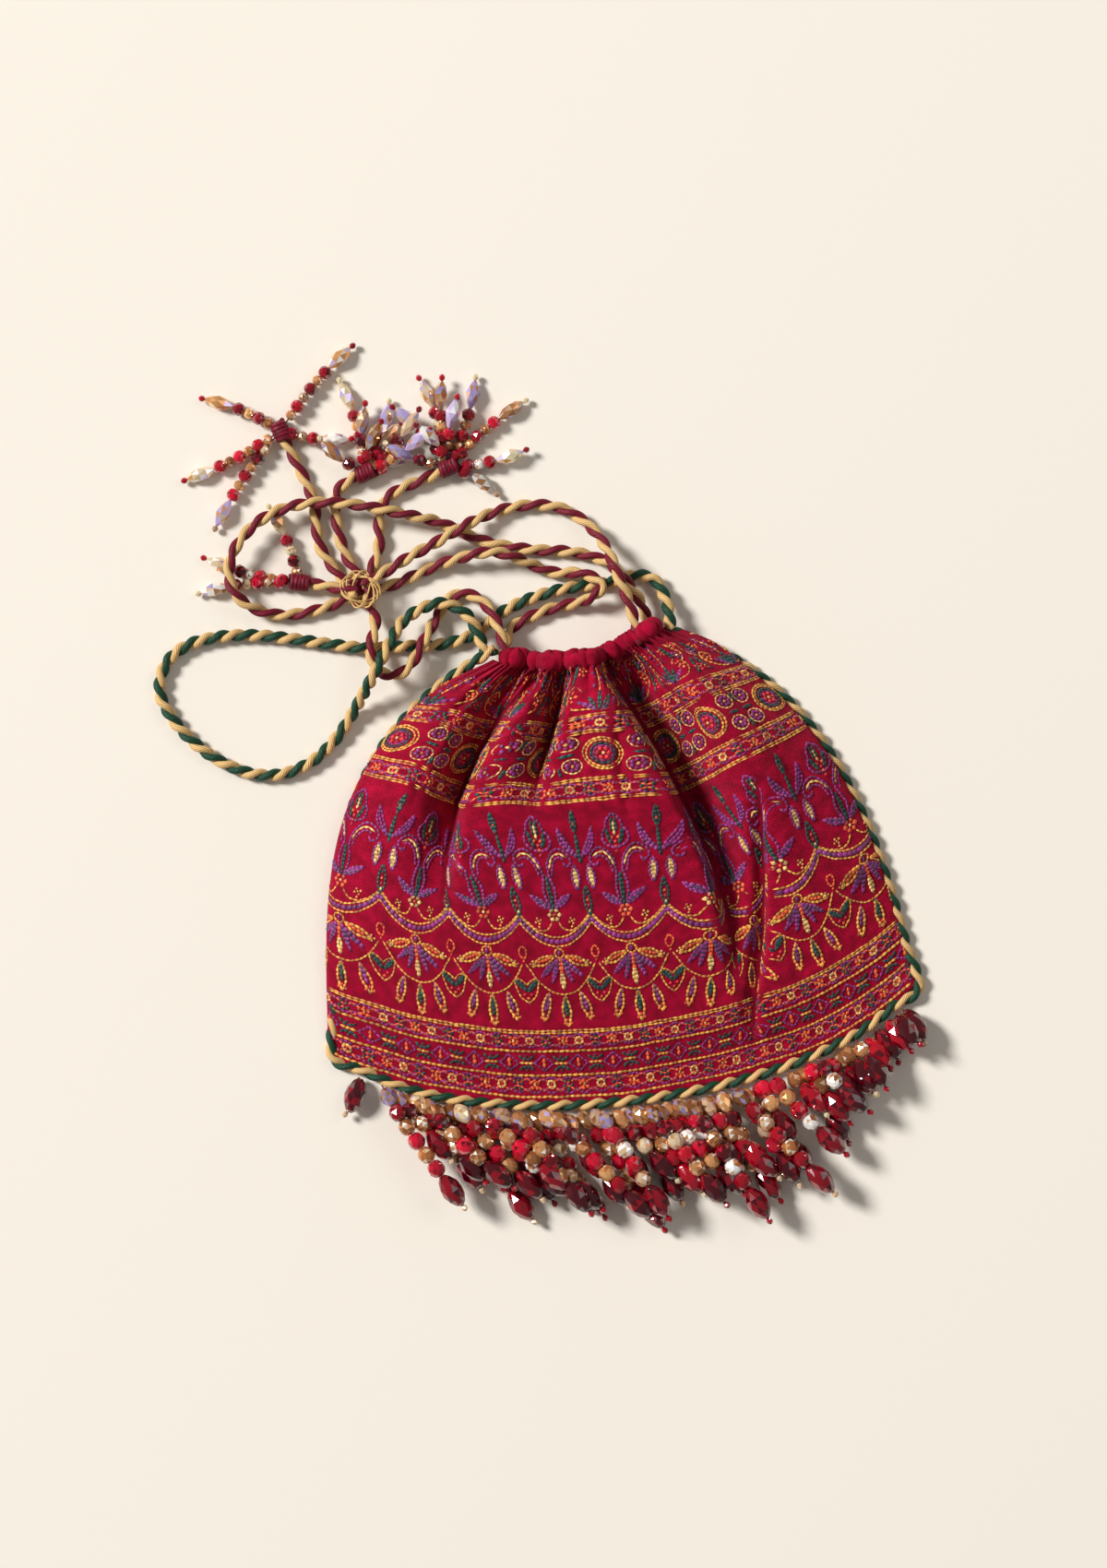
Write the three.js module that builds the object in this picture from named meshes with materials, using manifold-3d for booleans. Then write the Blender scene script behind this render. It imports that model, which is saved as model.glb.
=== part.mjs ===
// A drawstring pouch (potli) that lies on its back: two gathered cloth panels with a ruffled casing each,
// a twisted cord sewn round the seam, a carrying loop, two drawstrings that end in bead tassels, and a
// fringe of bead strands along the hem.
// Millimetres. X runs across the bag, Y from the hem to the mouth, Z up out of the front.
import * as THREE from 'three';
import { mergeVertices } from 'three/addons/utils/BufferGeometryUtils.js';
import Module from 'manifold-3d';

const wasm = await Module();
wasm.setup();

const { lerp, smoothstep, degToRad } = THREE.MathUtils;

// Outline of the pouch, seen from above
const hemHalfWidth = 102.5;
const hemCornerY = -57;
const hemBottomY = -85.2;
const hemHandleX = 67;
const mouthHalfWidth = 32;
const mouthCornerY = 75.7;
const mouthDipY = 69.2;
const mouthHandleX = 16;
const leftShoulder = [-97, 49];
const leftFlank = [-97.5, -4];
const rightShoulder = [85, 52];
const rightFlank = [95.5, -2];

// Cloth
const clothThickness = 1.2;
const sewnGap = 0.3;
const puffHeight = 24;
const seamLift = 6.2;
const frontMouthLift = 3.3;
const frontMouthArch = 7.5;
const backMouthHeight = 3.4;
const cornerShare = 0.09;
const puffRoundness = 2.6;
const puffFullness = 0.6;
const liftStart = 0.84;
const mouthBlendStart = 0.74;
const frontColumns = 28;
const frontRows = 13;
const backColumns = 14;
const backRows = 7;

// Profile of the puff from the hem (0) to the mouth (1), as a share of its height
const puffProfile = [[0, 0], [0.15, 0.4], [0.35, 0.8], [0.6, 1], [0.8, 0.9], [1, 0.6]];

// Deep folds that run down from the gathered mouth: x, y and depth along each
const folds = [
  { width: 7, line: [[-19, 66, 3], [-32, 57, 7], [-45, 44, 9], [-54, 24, 6], [-60, -3, 0]] },
  { width: 5, line: [[-6, 67, 3], [-10, 58, 7], [-18, 42, 5], [-22, 28, 0]] },
  { width: 8, line: [[9, 67, 4], [14, 57, 10], [25, 38, 12], [32, 14, 9], [43, -12, 6], [48, -33, 4],
    [40, -62, 0]] },
  { width: 5, line: [[19, 71, 3], [27, 62, 4], [39, 51, 0]] },
];

// Gathers at the mouth and the casing that holds them
const gatherCount = 9;
const frontGatherHeight = 1.4;
const backGatherHeight = 0.6;
const gatherStart = 0.78;
const casingRadius = 3.5;
const casingPinch = 0.5;
const casingEndShare = 0.07;
const casingSides = 8;
const casingRingsPerGather = 2;

// Cords
const cordSides = 8;
const cordStep = 9.5;
const pipingStep = 13;
const pipingRadius = 2.2;
const pipingLevel = pipingRadius + 0.1;
const pipingOffset = pipingRadius + 2 * sewnGap;
const pipingCornerRoom = 1.3;
const loopRadius = 2.4;
const drawstringRadius = 2.3;
const knotRadius = 6.4;
const knotHalfHeight = 5;
const knotWraps = 3;
const knotWrapDepth = 0.6;
const knotSides = 10;

// Beads, from a strand's free end up to the hem or the tassel's head: length and radius
const threadRadius = 0.55;
const seed = { length: 2.4, radius: 1.2 };
const drop = { length: 13, radius: 3.9 };
const redBead = { length: 6.2, radius: 3.15 };
const pearlBead = { length: 6, radius: 3 };
const ovalBead = { length: 8, radius: 3 };
const slimDrop = { length: 9, radius: 2.2 };
const redRound = { length: 4.3, radius: 2.1 };
const goldRound = { length: 3.4, radius: 1.7 };
const fringeBeads = [seed, drop, pearlBead, redBead, pearlBead, redBead, ovalBead];
const tasselBeads = [seed, slimDrop, goldRound, redRound, goldRound, redRound, goldRound, redRound];
const fringeSides = 5;
const tasselSides = 4;

// Fringe
const strandCount = 26;
const firstStrandShare = 0.04;
const lastStrandShare = 0.95;
const cornerStrandLean = -120;
const leftStrandLean = -53;
const rightStrandLean = -62;
const lastStrandBeads = 2;
const beadsShrinkStart = 0.62;
const layerRoom = 0.5;
const rowRise = 9;
const lowerSeatAngle = 15;
const upperSeatAngle = 50;

// Tassels: place of the head, way in which its cord comes in, and where each strand ends
const headRadius = 3.3;
const headHalfLength = 4.2;
const headWaist = 0.7;
const headSides = 8;
const tassels = [
  { name: 'tassel_a', head: [-98.3, 166.8, 3.6], from: [-0.32, 0.95, 0], ends: [[-126.3, 182.2, 2.5],
    [-136.2, 152.9, 2.5], [-126.7, 133.6, 2.5], [-78, 192, 2.5], [-81, 170, 2.5]] },
  { name: 'tassel_b', head: [-69.6, 148.3, 3.6], from: [0.95, 0.3, 0], ends: [[-75.5, 183.6, 2.5],
    [-66.4, 174, 5], [-58, 174, 2.5], [-53.4, 165, 5], [-50.4, 156, 2.5]] },
  { name: 'tassel_c', head: [-39.6, 146.7, 3.6], from: [0.94, 0.35, 0], ends: [[-47, 181, 2.5],
    [-38, 180, 5], [-26, 179, 2.5], [-8.2, 167.8, 2.5], [-10, 149.8, 4], [-23, 134, 2.5]] },
  { name: 'tassel_d', head: [-98.1, 111.7, 3.6], from: [-0.98, 0.2, 0], ends: [[-106.4, 141.3, 2.5],
    [-132.4, 125.2, 2.5], [-136, 111.9, 2.5]] },
];

// Routes of the cords, as the photograph shows them
const loopRoute = [
  [-35, 80.5, 8.3], [-36.4, 86.2, 8.1], [-39, 92.3, 8.2], [-43.3, 96.1, 8.2], [-48.4, 98.1, 8.2],
  [-53.8, 97.4, 8.2], [-59.1, 95.3, 8], [-63.5, 92.2, 8.8], [-67.1, 87.2, 11.8], [-70.8, 81.6, 13.8],
  [-74.6, 75.7, 13.6], [-79, 69.8, 9.4], [-84.1, 63.1, 4], [-91.1, 54.8, 2.5], [-100, 47.8, 2.5],
  [-110.6, 44.1, 2.5], [-121.2, 44.7, 2.5], [-132.1, 49.7, 2.5], [-141.8, 57.9, 2.5], [-149.3, 68.2, 2.5],
  [-152.8, 78.6, 2.5], [-149.6, 88, 2.5], [-141.6, 93.8, 2.5], [-129.9, 95.7, 2.5], [-116.6, 94.8, 2.5],
  [-102.9, 91.8, 2.5], [-89.2, 88.2, 2.5], [-76.1, 85.3, 2.5], [-62.8, 84.4, 2.5], [-50.1, 83.5, 2.5],
  [-40.9, 84.8, 2.5], [-33.8, 88, 2.5], [-26.6, 92.5, 2.5], [-18.5, 95.5, 2.5], [-9.5, 97.5, 2.5],
  [-0.7, 98.4, 2.5], [8, 98.4, 2.5], [15.5, 98.9, 2.5], [23, 100, 2.5], [28.8, 97.9, 3],
  [31.5, 92.6, 4.5], [32.6, 87.1, 6.8], [32.8, 80.9, 8.3],
];
const drawstringRoutes = {
  drawstring_left_front: [
    [-27.4, 80.1, 11.4], [-28.4, 85.6, 11], [-29.9, 90.2, 9], [-32.5, 95.9, 6], [-36.8, 99.7, 3.6],
    [-41.3, 100.9, 2.5], [-45.6, 99.1, 2.5], [-49.9, 94.2, 2.7], [-53.5, 89, 6.4], [-56.8, 84, 8.2],
    [-60.4, 78.7, 8.2], [-64.9, 74.9, 8.2], [-70, 74.5, 8.2], [-74, 78, 8.2], [-75.3, 83.5, 8.2],
    [-73.9, 89.4, 7.5], [-72.4, 94.6, 6], [-73.6, 100, 4.8],
  ],
  drawstring_left_back: [
    [-26.6, 81.5, 4.2], [-25.1, 85.2, 3], [-21, 88.1, 2.5], [-15.1, 90.1, 2.5], [-8.9, 91.7, 2.5],
    [-2.8, 92.3, 3], [3.4, 92.9, 5.4], [7.9, 94.7, 8.2], [10, 97.8, 8.2], [7.3, 100.8, 7],
    [1.8, 103.2, 4.9], [-4.1, 103.9, 2.8], [-9.9, 105.9, 2.5], [-15.2, 108.9, 4], [-20.9, 111.9, 7.4],
    [-27, 114, 8.2], [-33.7, 114.1, 8.2], [-40.2, 113.2, 6], [-47.4, 112.1, 3.5], [-55.7, 109.6, 2.5],
    [-62.5, 107.4, 2.5], [-69.8, 106, 3.1],
  ],
  drawstring_right_front: [
    [20.4, 79.7, 13], [19.4, 87, 13.4], [17.9, 93.5, 13.6], [16, 100.5, 13.6], [13.9, 108.1, 11.5],
    [10.5, 115.9, 7], [4.9, 122.9, 3.5], [-2.9, 127.9, 2.5], [-12.4, 129.7, 2.5], [-21.9, 129.2, 3],
    [-30.9, 126.9, 5.6], [-39.3, 123.5, 8.2], [-47.8, 119.8, 6.5], [-57, 116.2, 6.5], [-64.7, 112.6, 7.2],
    [-70.5, 109.9, 7.6],
  ],
  drawstring_right_back: [
    [24.9, 80.5, 4.6], [24.1, 87.1, 6], [22.1, 92.4, 7.6], [19.3, 97.4, 8.2], [16.2, 102.1, 8],
    [12, 106.3, 4.5], [6, 109.4, 2.5], [-1.8, 111.7, 2.5], [-10.7, 113.1, 2.5], [-19.5, 115.1, 2.5],
    [-26.6, 117.3, 2.5], [-33, 120.1, 2.5], [-39.3, 123.9, 2.5], [-46.2, 127.7, 3.5], [-54, 130.3, 6.6],
    [-61.7, 132.9, 8.2], [-70.1, 135.6, 8.2], [-79.9, 138.1, 8.2], [-89.8, 139.3, 8.2], [-99.3, 138.7, 7.6],
    [-107.7, 136, 8.2], [-114.9, 131.2, 8.2], [-120.4, 124.5, 8.2], [-122.7, 117, 8.2], [-120.9, 109.7, 8.2],
    [-115.5, 104.4, 5.4], [-107.1, 101.1, 3], [-97.8, 100.6, 2.5], [-89.6, 101.7, 2.5], [-82.1, 103.8, 3.3],
  ],
};
const tasselCordRoutes = {
  tassel_cord_a: [
    [-82.2, 110, 3.5], [-86, 116.7, 2.6], [-89.3, 124.1, 2.5], [-89.6, 132.2, 2.5], [-89.5, 139.2, 2.5],
    [-91, 145.8, 2.5], [-93.5, 153.2, 2.5], [-96.8, 162.3, 3.4],
  ],
  tassel_cord_b: [
    [-77.4, 112.7, 3.8], [-80.1, 119, 2.6], [-81.7, 125.9, 2.5], [-82.1, 133.3, 2.5], [-81.8, 138.7, 2.5],
    [-80.3, 143.2, 2.5], [-74.6, 146.7, 3.4],
  ],
  tassel_cord_c: [
    [-72.6, 111.5, 3.1], [-69.2, 118, 2.5], [-67.5, 123.9, 2.5], [-67.1, 129.5, 2.5], [-65.8, 134.7, 2.5],
    [-62.4, 138.7, 2.5], [-56.7, 141.4, 2.6], [-50.4, 143, 3], [-44, 145.1, 3.4],
  ],
  tassel_cord_d: [[-83, 107.2, 7.5], [-87.4, 108.8, 5.8], [-93, 110.6, 3.9]],
};
const knotCentre = [-76.3, 106.4, 5.2];

// Colours and finishes
const cloth = new THREE.MeshStandardMaterial({ color: 0x960a2d, roughness: 0.85, metalness: 0 });
const greenCord = new THREE.MeshStandardMaterial({ color: 0x6f7a50, roughness: 0.7, metalness: 0 });
const maroonCord = new THREE.MeshStandardMaterial({ color: 0xa85a4a, roughness: 0.7, metalness: 0 });
const knotCord = new THREE.MeshStandardMaterial({ color: 0x8a2a3a, roughness: 0.7, metalness: 0 });
const redGlass = new THREE.MeshStandardMaterial({ color: 0xa00a18, roughness: 0.12, metalness: 0.1 });
const paleGlass = new THREE.MeshStandardMaterial({ color: 0xd8b8a8, roughness: 0.12, metalness: 0.4 });

// Outline curves: the hem and mouth run left to right, the sides from the hem up to the mouth
const handleHeight = (middle, corner) => (4 * middle - corner) / 3;
const hemHandleY = handleHeight(hemBottomY, hemCornerY);
const mouthHandleY = handleHeight(mouthDipY, mouthCornerY);
const point = (x, y) => new THREE.Vector2(x, y);
const hemCurve = new THREE.CubicBezierCurve(point(-hemHalfWidth, hemCornerY),
  point(-hemHandleX, hemHandleY), point(hemHandleX, hemHandleY), point(hemHalfWidth, hemCornerY));
const mouthCurve = new THREE.CubicBezierCurve(point(-mouthHalfWidth, mouthCornerY),
  point(-mouthHandleX, mouthHandleY), point(mouthHandleX, mouthHandleY), point(mouthHalfWidth, mouthCornerY));
const leftCurve = new THREE.CubicBezierCurve(point(-hemHalfWidth, hemCornerY),
  point(...leftFlank), point(...leftShoulder), point(-mouthHalfWidth, mouthCornerY));
const rightCurve = new THREE.CubicBezierCurve(point(hemHalfWidth, hemCornerY),
  point(...rightFlank), point(...rightShoulder), point(mouthHalfWidth, mouthCornerY));

// Blends the four outline curves into one sheet: u across the bag, t from the hem to the mouth
function sheetPoint(u, t) {
  const hem = hemCurve.getPointAt(u);
  const mouth = mouthCurve.getPointAt(u);
  const left = leftCurve.getPointAt(t);
  const right = rightCurve.getPointAt(t);
  const blend = (axis) => {
    const corners = lerp(lerp(-hemHalfWidth, hemHalfWidth, u), lerp(-mouthHalfWidth, mouthHalfWidth, u), t);
    const level = lerp(hemCornerY, mouthCornerY, t);
    const shared = axis === 'x' ? corners : level;
    return lerp(hem[axis], mouth[axis], t) + lerp(left[axis], right[axis], u) - shared;
  };
  return new THREE.Vector2(blend('x'), blend('y'));
}

// 0 at the side seams and 1 away from them
function awayFromSeam(u) {
  return smoothstep(u, 0, cornerShare) * smoothstep(1 - u, 0, cornerShare);
}

function profileAt(t) {
  const next = puffProfile.findIndex(([place]) => place >= t);
  if (next <= 0) return puffProfile[0][1];
  const [t0, h0] = puffProfile[next - 1];
  const [t1, h1] = puffProfile[next];
  return lerp(h0, h1, smoothstep(t, t0, t1) * 0.5 + 0.5 * (t - t0) / (t1 - t0));
}

// How far the folds press the front down at a place on the sheet
function foldDepth({ x, y }) {
  let total = 0;
  for (const { width, line } of folds) {
    let deepest = 0;
    for (let i = 1; i < line.length; i++) {
      const [x0, y0, d0] = line[i - 1];
      const [x1, y1, d1] = line[i];
      const along = ((x - x0) * (x1 - x0) + (y - y0) * (y1 - y0)) / ((x1 - x0) ** 2 + (y1 - y0) ** 2);
      const share = THREE.MathUtils.clamp(along, 0, 1);
      const away = Math.hypot(x - lerp(x0, x1, share), y - lerp(y0, y1, share));
      deepest = Math.max(deepest, lerp(d0, d1, share) * Math.exp(-((away / width) ** 2)));
    }
    total += deepest;
  }
  return total;
}

// The wave that the gathers make at the mouth, from -1 to 1
function gatherWave(u) {
  return Math.cos(2 * Math.PI * gatherCount * u);
}

function gatherAt(u, t, height) {
  return height * gatherWave(u) * smoothstep(t, gatherStart, 1) * awayFromSeam(u);
}

// Height of the back panel's underside
function backHeight(u, t) {
  const rise = smoothstep(t, liftStart, 1);
  return rise * (lerp(seamLift, backMouthHeight, awayFromSeam(u)) + gatherAt(u, t, backGatherHeight));
}

// Height of the front panel's underside
function frontHeight(u, t) {
  const seam = clothThickness + sewnGap + seamLift * smoothstep(t, liftStart, 1);
  const across = (1 - Math.abs(2 * u - 1) ** puffRoundness) ** puffFullness;
  const puff = puffHeight * across * profileAt(t);
  const mouth = awayFromSeam(u) * (frontMouthLift + frontMouthArch * Math.sin(Math.PI * u));
  const body = lerp(puff, mouth, smoothstep(t, mouthBlendStart, 1)) + gatherAt(u, t, frontGatherHeight);
  return seam + Math.max(0, body - foldDepth(sheetPoint(u, t)) * across);
}

// A closed solid through rings of points, with flat ends
function loft(rings) {
  const sides = rings[0].length;
  const positions = rings.flat().flatMap((p) => [p.x, p.y, p.z]);
  const indices = [];
  for (let i = 1; i < rings.length; i++) {
    for (let k = 0; k < sides; k++) {
      const a = (i - 1) * sides + k;
      const b = (i - 1) * sides + (k + 1) % sides;
      indices.push(a, b, a + sides, b, b + sides, a + sides);
    }
  }
  const last = (rings.length - 1) * sides;
  for (let k = 2; k < sides; k++) {
    indices.push(0, k, k - 1, last, last + k - 1, last + k);
  }
  const geometry = new THREE.BufferGeometry();
  geometry.setAttribute('position', new THREE.Float32BufferAttribute(positions, 3));
  geometry.setIndex(indices);
  geometry.computeVertexNormals();
  return geometry;
}

// A ring of points round a path that runs about level
function ringAround(centre, tangent, radius, sides) {
  const side = new THREE.Vector3().crossVectors(tangent, new THREE.Vector3(0, 0, 1)).normalize();
  const up = new THREE.Vector3().crossVectors(side, tangent);
  return Array.from({ length: sides }, (_, k) => {
    const angle = 2 * Math.PI * k / sides;
    return centre.clone().addScaledVector(up, radius * Math.cos(angle)).addScaledVector(side,
      radius * Math.sin(angle));
  });
}

// A cloth panel of even thickness over the height of its underside
function panelGeometry(columns, rows, underside) {
  const rings = [];
  for (let j = 0; j <= rows; j++) {
    const row = (lift) => Array.from({ length: columns + 1 }, (_, i) => {
      const u = i / columns;
      const t = j / rows;
      const { x, y } = sheetPoint(u, t);
      return new THREE.Vector3(x, y, underside(u, t) + lift);
    });
    rings.push([...row(clothThickness), ...row(0).reverse()]);
  }
  return panelLoft(rings, columns);
}

// Joins the rows of a panel; the two ends are closed by strips, because they are long and curved
function panelLoft(rings, columns) {
  const geometry = loft(rings);
  const size = 2 * (columns + 1);
  const sideCount = (rings.length - 1) * size * 6;
  const indices = Array.from(geometry.index.array.slice(0, sideCount));
  const last = (rings.length - 1) * size;
  for (let i = 0; i < columns; i++) {
    const below = size - 1 - i;
    indices.push(i, below, below - 1, i, below - 1, i + 1);
    indices.push(last + i, last + below - 1, last + below, last + i, last + i + 1, last + below - 1);
  }
  geometry.setIndex(indices);
  return geometry;
}

// The casing: a channel of cloth pinched by the gathers, sewn along a panel's mouth
function casingGeometry(underside) {
  const steps = gatherCount * casingRingsPerGather;
  const rings = [];
  const offset = casingRadius + sewnGap;
  const centreAt = (u) => {
    const { x, y } = mouthCurve.getPointAt(u);
    const tangent = mouthCurve.getTangentAt(u);
    return new THREE.Vector3(x - tangent.y * offset, y + tangent.x * offset,
      underside(u, 1) + clothThickness / 2);
  };
  for (let i = 0; i <= steps; i++) {
    const u = lerp(casingEndShare, 1 - casingEndShare, i / steps);
    const tangent = centreAt(u + 0.01).sub(centreAt(u - 0.01)).setZ(0).normalize();
    const radius = casingRadius - casingPinch * (1 - gatherWave(u)) / 2;
    rings.push(ringAround(centreAt(u), tangent, radius, casingSides));
  }
  return loft(rings);
}

// A plain cord along a route
function cordGeometry(route, radius, step = cordStep) {
  const path = new THREE.CatmullRomCurve3(route.map((p) => new THREE.Vector3(...p)));
  const section = new THREE.Shape(Array.from({ length: cordSides }, (_, k) => {
    const angle = 2 * Math.PI * k / cordSides;
    return point(radius * Math.cos(angle), radius * Math.sin(angle));
  }));
  const steps = Math.ceil(path.getLength() / step) + 1;
  return new THREE.ExtrudeGeometry(section, { steps, extrudePath: path, bevelEnabled: false });
}

// The piping runs down the left seam, along the hem and up the right seam, just outside the panels
function pipingRoute() {
  const outside = (curve, share, side) => {
    const tangent = curve.getTangentAt(share).multiplyScalar(side);
    const { x, y } = curve.getPointAt(share);
    return [x - tangent.y * pipingOffset, y + tangent.x * pipingOffset];
  };
  const lifted = (t) => pipingLevel + seamLift * smoothstep(t, liftStart, 1);
  const sideShares = [1, 0.93, 0.86, 0.78, 0.68, 0.56, 0.44, 0.32, 0.2, 0.09];
  const hemShares = [0.04, 0.12, 0.22, 0.33, 0.44, 0.56, 0.67, 0.78, 0.88, 0.96];
  const cornerOffset = pipingCornerRoom * pipingOffset;
  const corner = (side) => [side * (hemHalfWidth + cornerOffset), hemCornerY - cornerOffset, pipingLevel];
  return [
    ...sideShares.map((t) => [...outside(leftCurve, t, 1), lifted(t)]),
    corner(-1),
    ...hemShares.map((u) => [...outside(hemCurve, u, -1), pipingLevel]),
    corner(1),
    ...sideShares.toReversed().map((t) => [...outside(rightCurve, t, -1), lifted(t)]),
  ];
}

// Rings of a strand of beads, counted from its free end: a bead is widest at its middle
function strandGeometry(path, beads, sides) {
  const total = path.getLength();
  const stops = [{ at: 0, radius: threadRadius }];
  let at = 0;
  for (const bead of beads) {
    stops.push({ at: at + bead.length / 2, radius: bead.radius });
    at += bead.length;
    stops.push({ at, radius: threadRadius });
  }
  if (total - at > threadRadius) stops.push({ at: total, radius: threadRadius });
  return loft(stops.map(({ at: place, radius }) => {
    const share = Math.min(1, place / total);
    return ringAround(path.getPointAt(share), path.getTangentAt(share), radius, sides);
  }));
}

function beadsWithin(beads, reach) {
  let left = reach;
  return beads.filter((bead) => {
    left -= bead.length;
    return left >= 0;
  });
}

// One strand of the fringe: its knot lies by the piping, and every second one rides on its neighbours
function fringeStrand(number) {
  const share = lerp(firstStrandShare, lastStrandShare, number / (strandCount - 1));
  const shrink = smoothstep(share, beadsShrinkStart, lastStrandShare);
  const corner = number === 0;
  const count = corner ? lastStrandBeads : Math.round(lerp(fringeBeads.length, lastStrandBeads, shrink));
  const lean = degToRad(corner ? cornerStrandLean : lerp(leftStrandLean, rightStrandLean, share));
  const beads = fringeBeads.slice(0, count);
  const length = beads.reduce((sum, bead) => sum + bead.length, 0);
  const upper = number % 2 === 1;
  const tangent = hemCurve.getTangentAt(share);
  const outward = new THREE.Vector3(tangent.y, -tangent.x, 0);
  const seat = pipingRadius + 1.5 * sewnGap;
  const seatAngle = degToRad(upper ? upperSeatAngle : lowerSeatAngle);
  const away = pipingOffset + seat * Math.cos(seatAngle);
  const hem = hemCurve.getPointAt(share);
  const start = new THREE.Vector3(hem.x, hem.y, 0).addScaledVector(outward, away);
  const along = new THREE.Vector3(Math.cos(lean), Math.sin(lean), 0);
  const floor = drop.radius + sewnGap;
  const top = upper ? floor + 2 * drop.radius - layerRoom : floor;
  const first = pipingRadius + seat * Math.sin(seatAngle);
  const heights = [[0, first], [rowRise, lerp(first, top, 0.8)], [2 * rowRise, top], [length, top]];
  const route = heights.filter(([s]) => s <= length).map(([s, z]) => {
    return start.clone().addScaledVector(along, s).setZ(z);
  });
  return strandGeometry(new THREE.CatmullRomCurve3(route.reverse()), beads, fringeSides);
}

// A barrel of wound cord turned about its own length
function barrelGeometry(radius, halfLength, waist, sides) {
  const profile = [[0, -halfLength], [radius * waist, -halfLength], [radius, -halfLength / 2],
    [radius * 0.9, 0], [radius, halfLength / 2], [radius * waist, halfLength], [0, halfLength]];
  return new THREE.LatheGeometry(profile.map(([r, h]) => point(r, h)), sides);
}

// The knot that gathers the cords: a flattened ball with a wave for each turn of the whipping
function knotGeometry() {
  const steps = 4 * knotWraps;
  const profile = Array.from({ length: steps + 1 }, (_, k) => {
    const angle = Math.PI * (k / steps - 0.5);
    const wave = knotWrapDepth * (Math.cos(2 * Math.PI * k / 4) - 1) / 2;
    return point(Math.max(0, knotRadius * Math.cos(angle) + wave * Math.cos(angle)),
      knotHalfHeight * Math.sin(angle));
  });
  profile[0].x = 0;
  profile[steps].x = 0;
  return new THREE.LatheGeometry(profile, knotSides).rotateX(Math.PI / 2);
}

function toSolid(geometry) {
  const bare = geometry.clone();
  for (const name of Object.keys(bare.attributes)) {
    if (name !== 'position') bare.deleteAttribute(name);
  }
  const merged = mergeVertices(bare);
  return new wasm.Manifold(new wasm.Mesh({
    numProp: 3,
    vertProperties: merged.attributes.position.array,
    triVerts: merged.index.array,
  }));
}

function fromSolid(solid) {
  const { vertProperties, triVerts } = solid.getMesh();
  const geometry = new THREE.BufferGeometry();
  geometry.setAttribute('position', new THREE.BufferAttribute(vertProperties, 3));
  geometry.setIndex(new THREE.BufferAttribute(triVerts, 1));
  geometry.computeVertexNormals();
  return geometry;
}

// A tassel: the wound head with its strands, whose threads are sewn into it
function tasselGeometry({ head, from, ends }) {
  const centre = new THREE.Vector3(...head);
  const axis = new THREE.Vector3(...from).normalize();
  const barrel = barrelGeometry(headRadius, headHalfLength, headWaist, headSides);
  barrel.applyQuaternion(new THREE.Quaternion().setFromUnitVectors(new THREE.Vector3(0, 1, 0), axis));
  barrel.translate(...head);
  return fromSolid(ends.reduce((whole, end) => {
    const tip = new THREE.Vector3(...end);
    const beads = beadsWithin(tasselBeads, tip.distanceTo(centre) - headRadius / 2);
    const path = new THREE.LineCurve3(tip, centre);
    return whole.add(toSolid(strandGeometry(path, beads, tasselSides)));
  }, toSolid(barrel)));
}

function part(name, geometry, material) {
  const mesh = new THREE.Mesh(geometry, material);
  mesh.name = name;
  return mesh;
}

const pouch = new THREE.Group();
pouch.add(
  part('front_panel', panelGeometry(frontColumns, frontRows, frontHeight), cloth),
  part('back_panel', panelGeometry(backColumns, backRows, backHeight), cloth),
  part('front_casing', casingGeometry(frontHeight), cloth),
  part('back_casing', casingGeometry(backHeight), cloth),
  part('seam_piping', cordGeometry(pipingRoute(), pipingRadius, pipingStep), greenCord),
);

const cords = new THREE.Group();
cords.add(part('carrying_loop', cordGeometry(loopRoute, loopRadius), greenCord));
for (const [name, route] of Object.entries({ ...drawstringRoutes, ...tasselCordRoutes })) {
  cords.add(part(name, cordGeometry(route, drawstringRadius), maroonCord));
}
const knot = part('drawstring_knot', knotGeometry(), knotCord);
knot.position.set(...knotCentre);
cords.add(knot);
for (const tassel of tassels) {
  cords.add(part(tassel.name, tasselGeometry(tassel), paleGlass));
}

const fringe = new THREE.Group();
for (let number = 0; number < strandCount; number++) {
  const name = `fringe_strand_${String(number + 1).padStart(2, '0')}`;
  fringe.add(part(name, fringeStrand(number), redGlass));
}

const potli = new THREE.Group();
potli.add(pouch, cords, fringe);

export default potli;
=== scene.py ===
# Looks of a drawstring pouch with chain-stitch embroidery, twisted cords, bead tassels and a bead fringe.
# Lengths are in millimetres in the pouch's own frame, and become metres when a mesh is made.
import math

import bpy
import numpy as np
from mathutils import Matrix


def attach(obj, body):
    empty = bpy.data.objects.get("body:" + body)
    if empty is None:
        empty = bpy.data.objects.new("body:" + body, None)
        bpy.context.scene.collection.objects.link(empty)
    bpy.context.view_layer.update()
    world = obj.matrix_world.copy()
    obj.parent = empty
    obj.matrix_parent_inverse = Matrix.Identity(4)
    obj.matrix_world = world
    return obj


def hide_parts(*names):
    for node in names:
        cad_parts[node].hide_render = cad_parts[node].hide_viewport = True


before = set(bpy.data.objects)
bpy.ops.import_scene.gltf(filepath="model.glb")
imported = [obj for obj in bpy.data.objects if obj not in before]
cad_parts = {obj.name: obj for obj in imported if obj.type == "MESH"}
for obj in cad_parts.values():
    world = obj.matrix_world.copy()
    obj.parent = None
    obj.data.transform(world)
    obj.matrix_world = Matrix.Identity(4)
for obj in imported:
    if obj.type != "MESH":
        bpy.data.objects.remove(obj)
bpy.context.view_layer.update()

MM = 0.001
BODY = "root"
random = np.random.default_rng(11)

# Camera: it looks straight down, and the pouch lies turned a little in the picture
PICTURE_HEIGHT = 566.7
PICTURE_CENTRE = (-15.7, 28.7)
PICTURE_TURN = math.radians(-6.8)
CAMERA_HEIGHT = 1500.0
SENSOR_HEIGHT = 36.0

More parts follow.
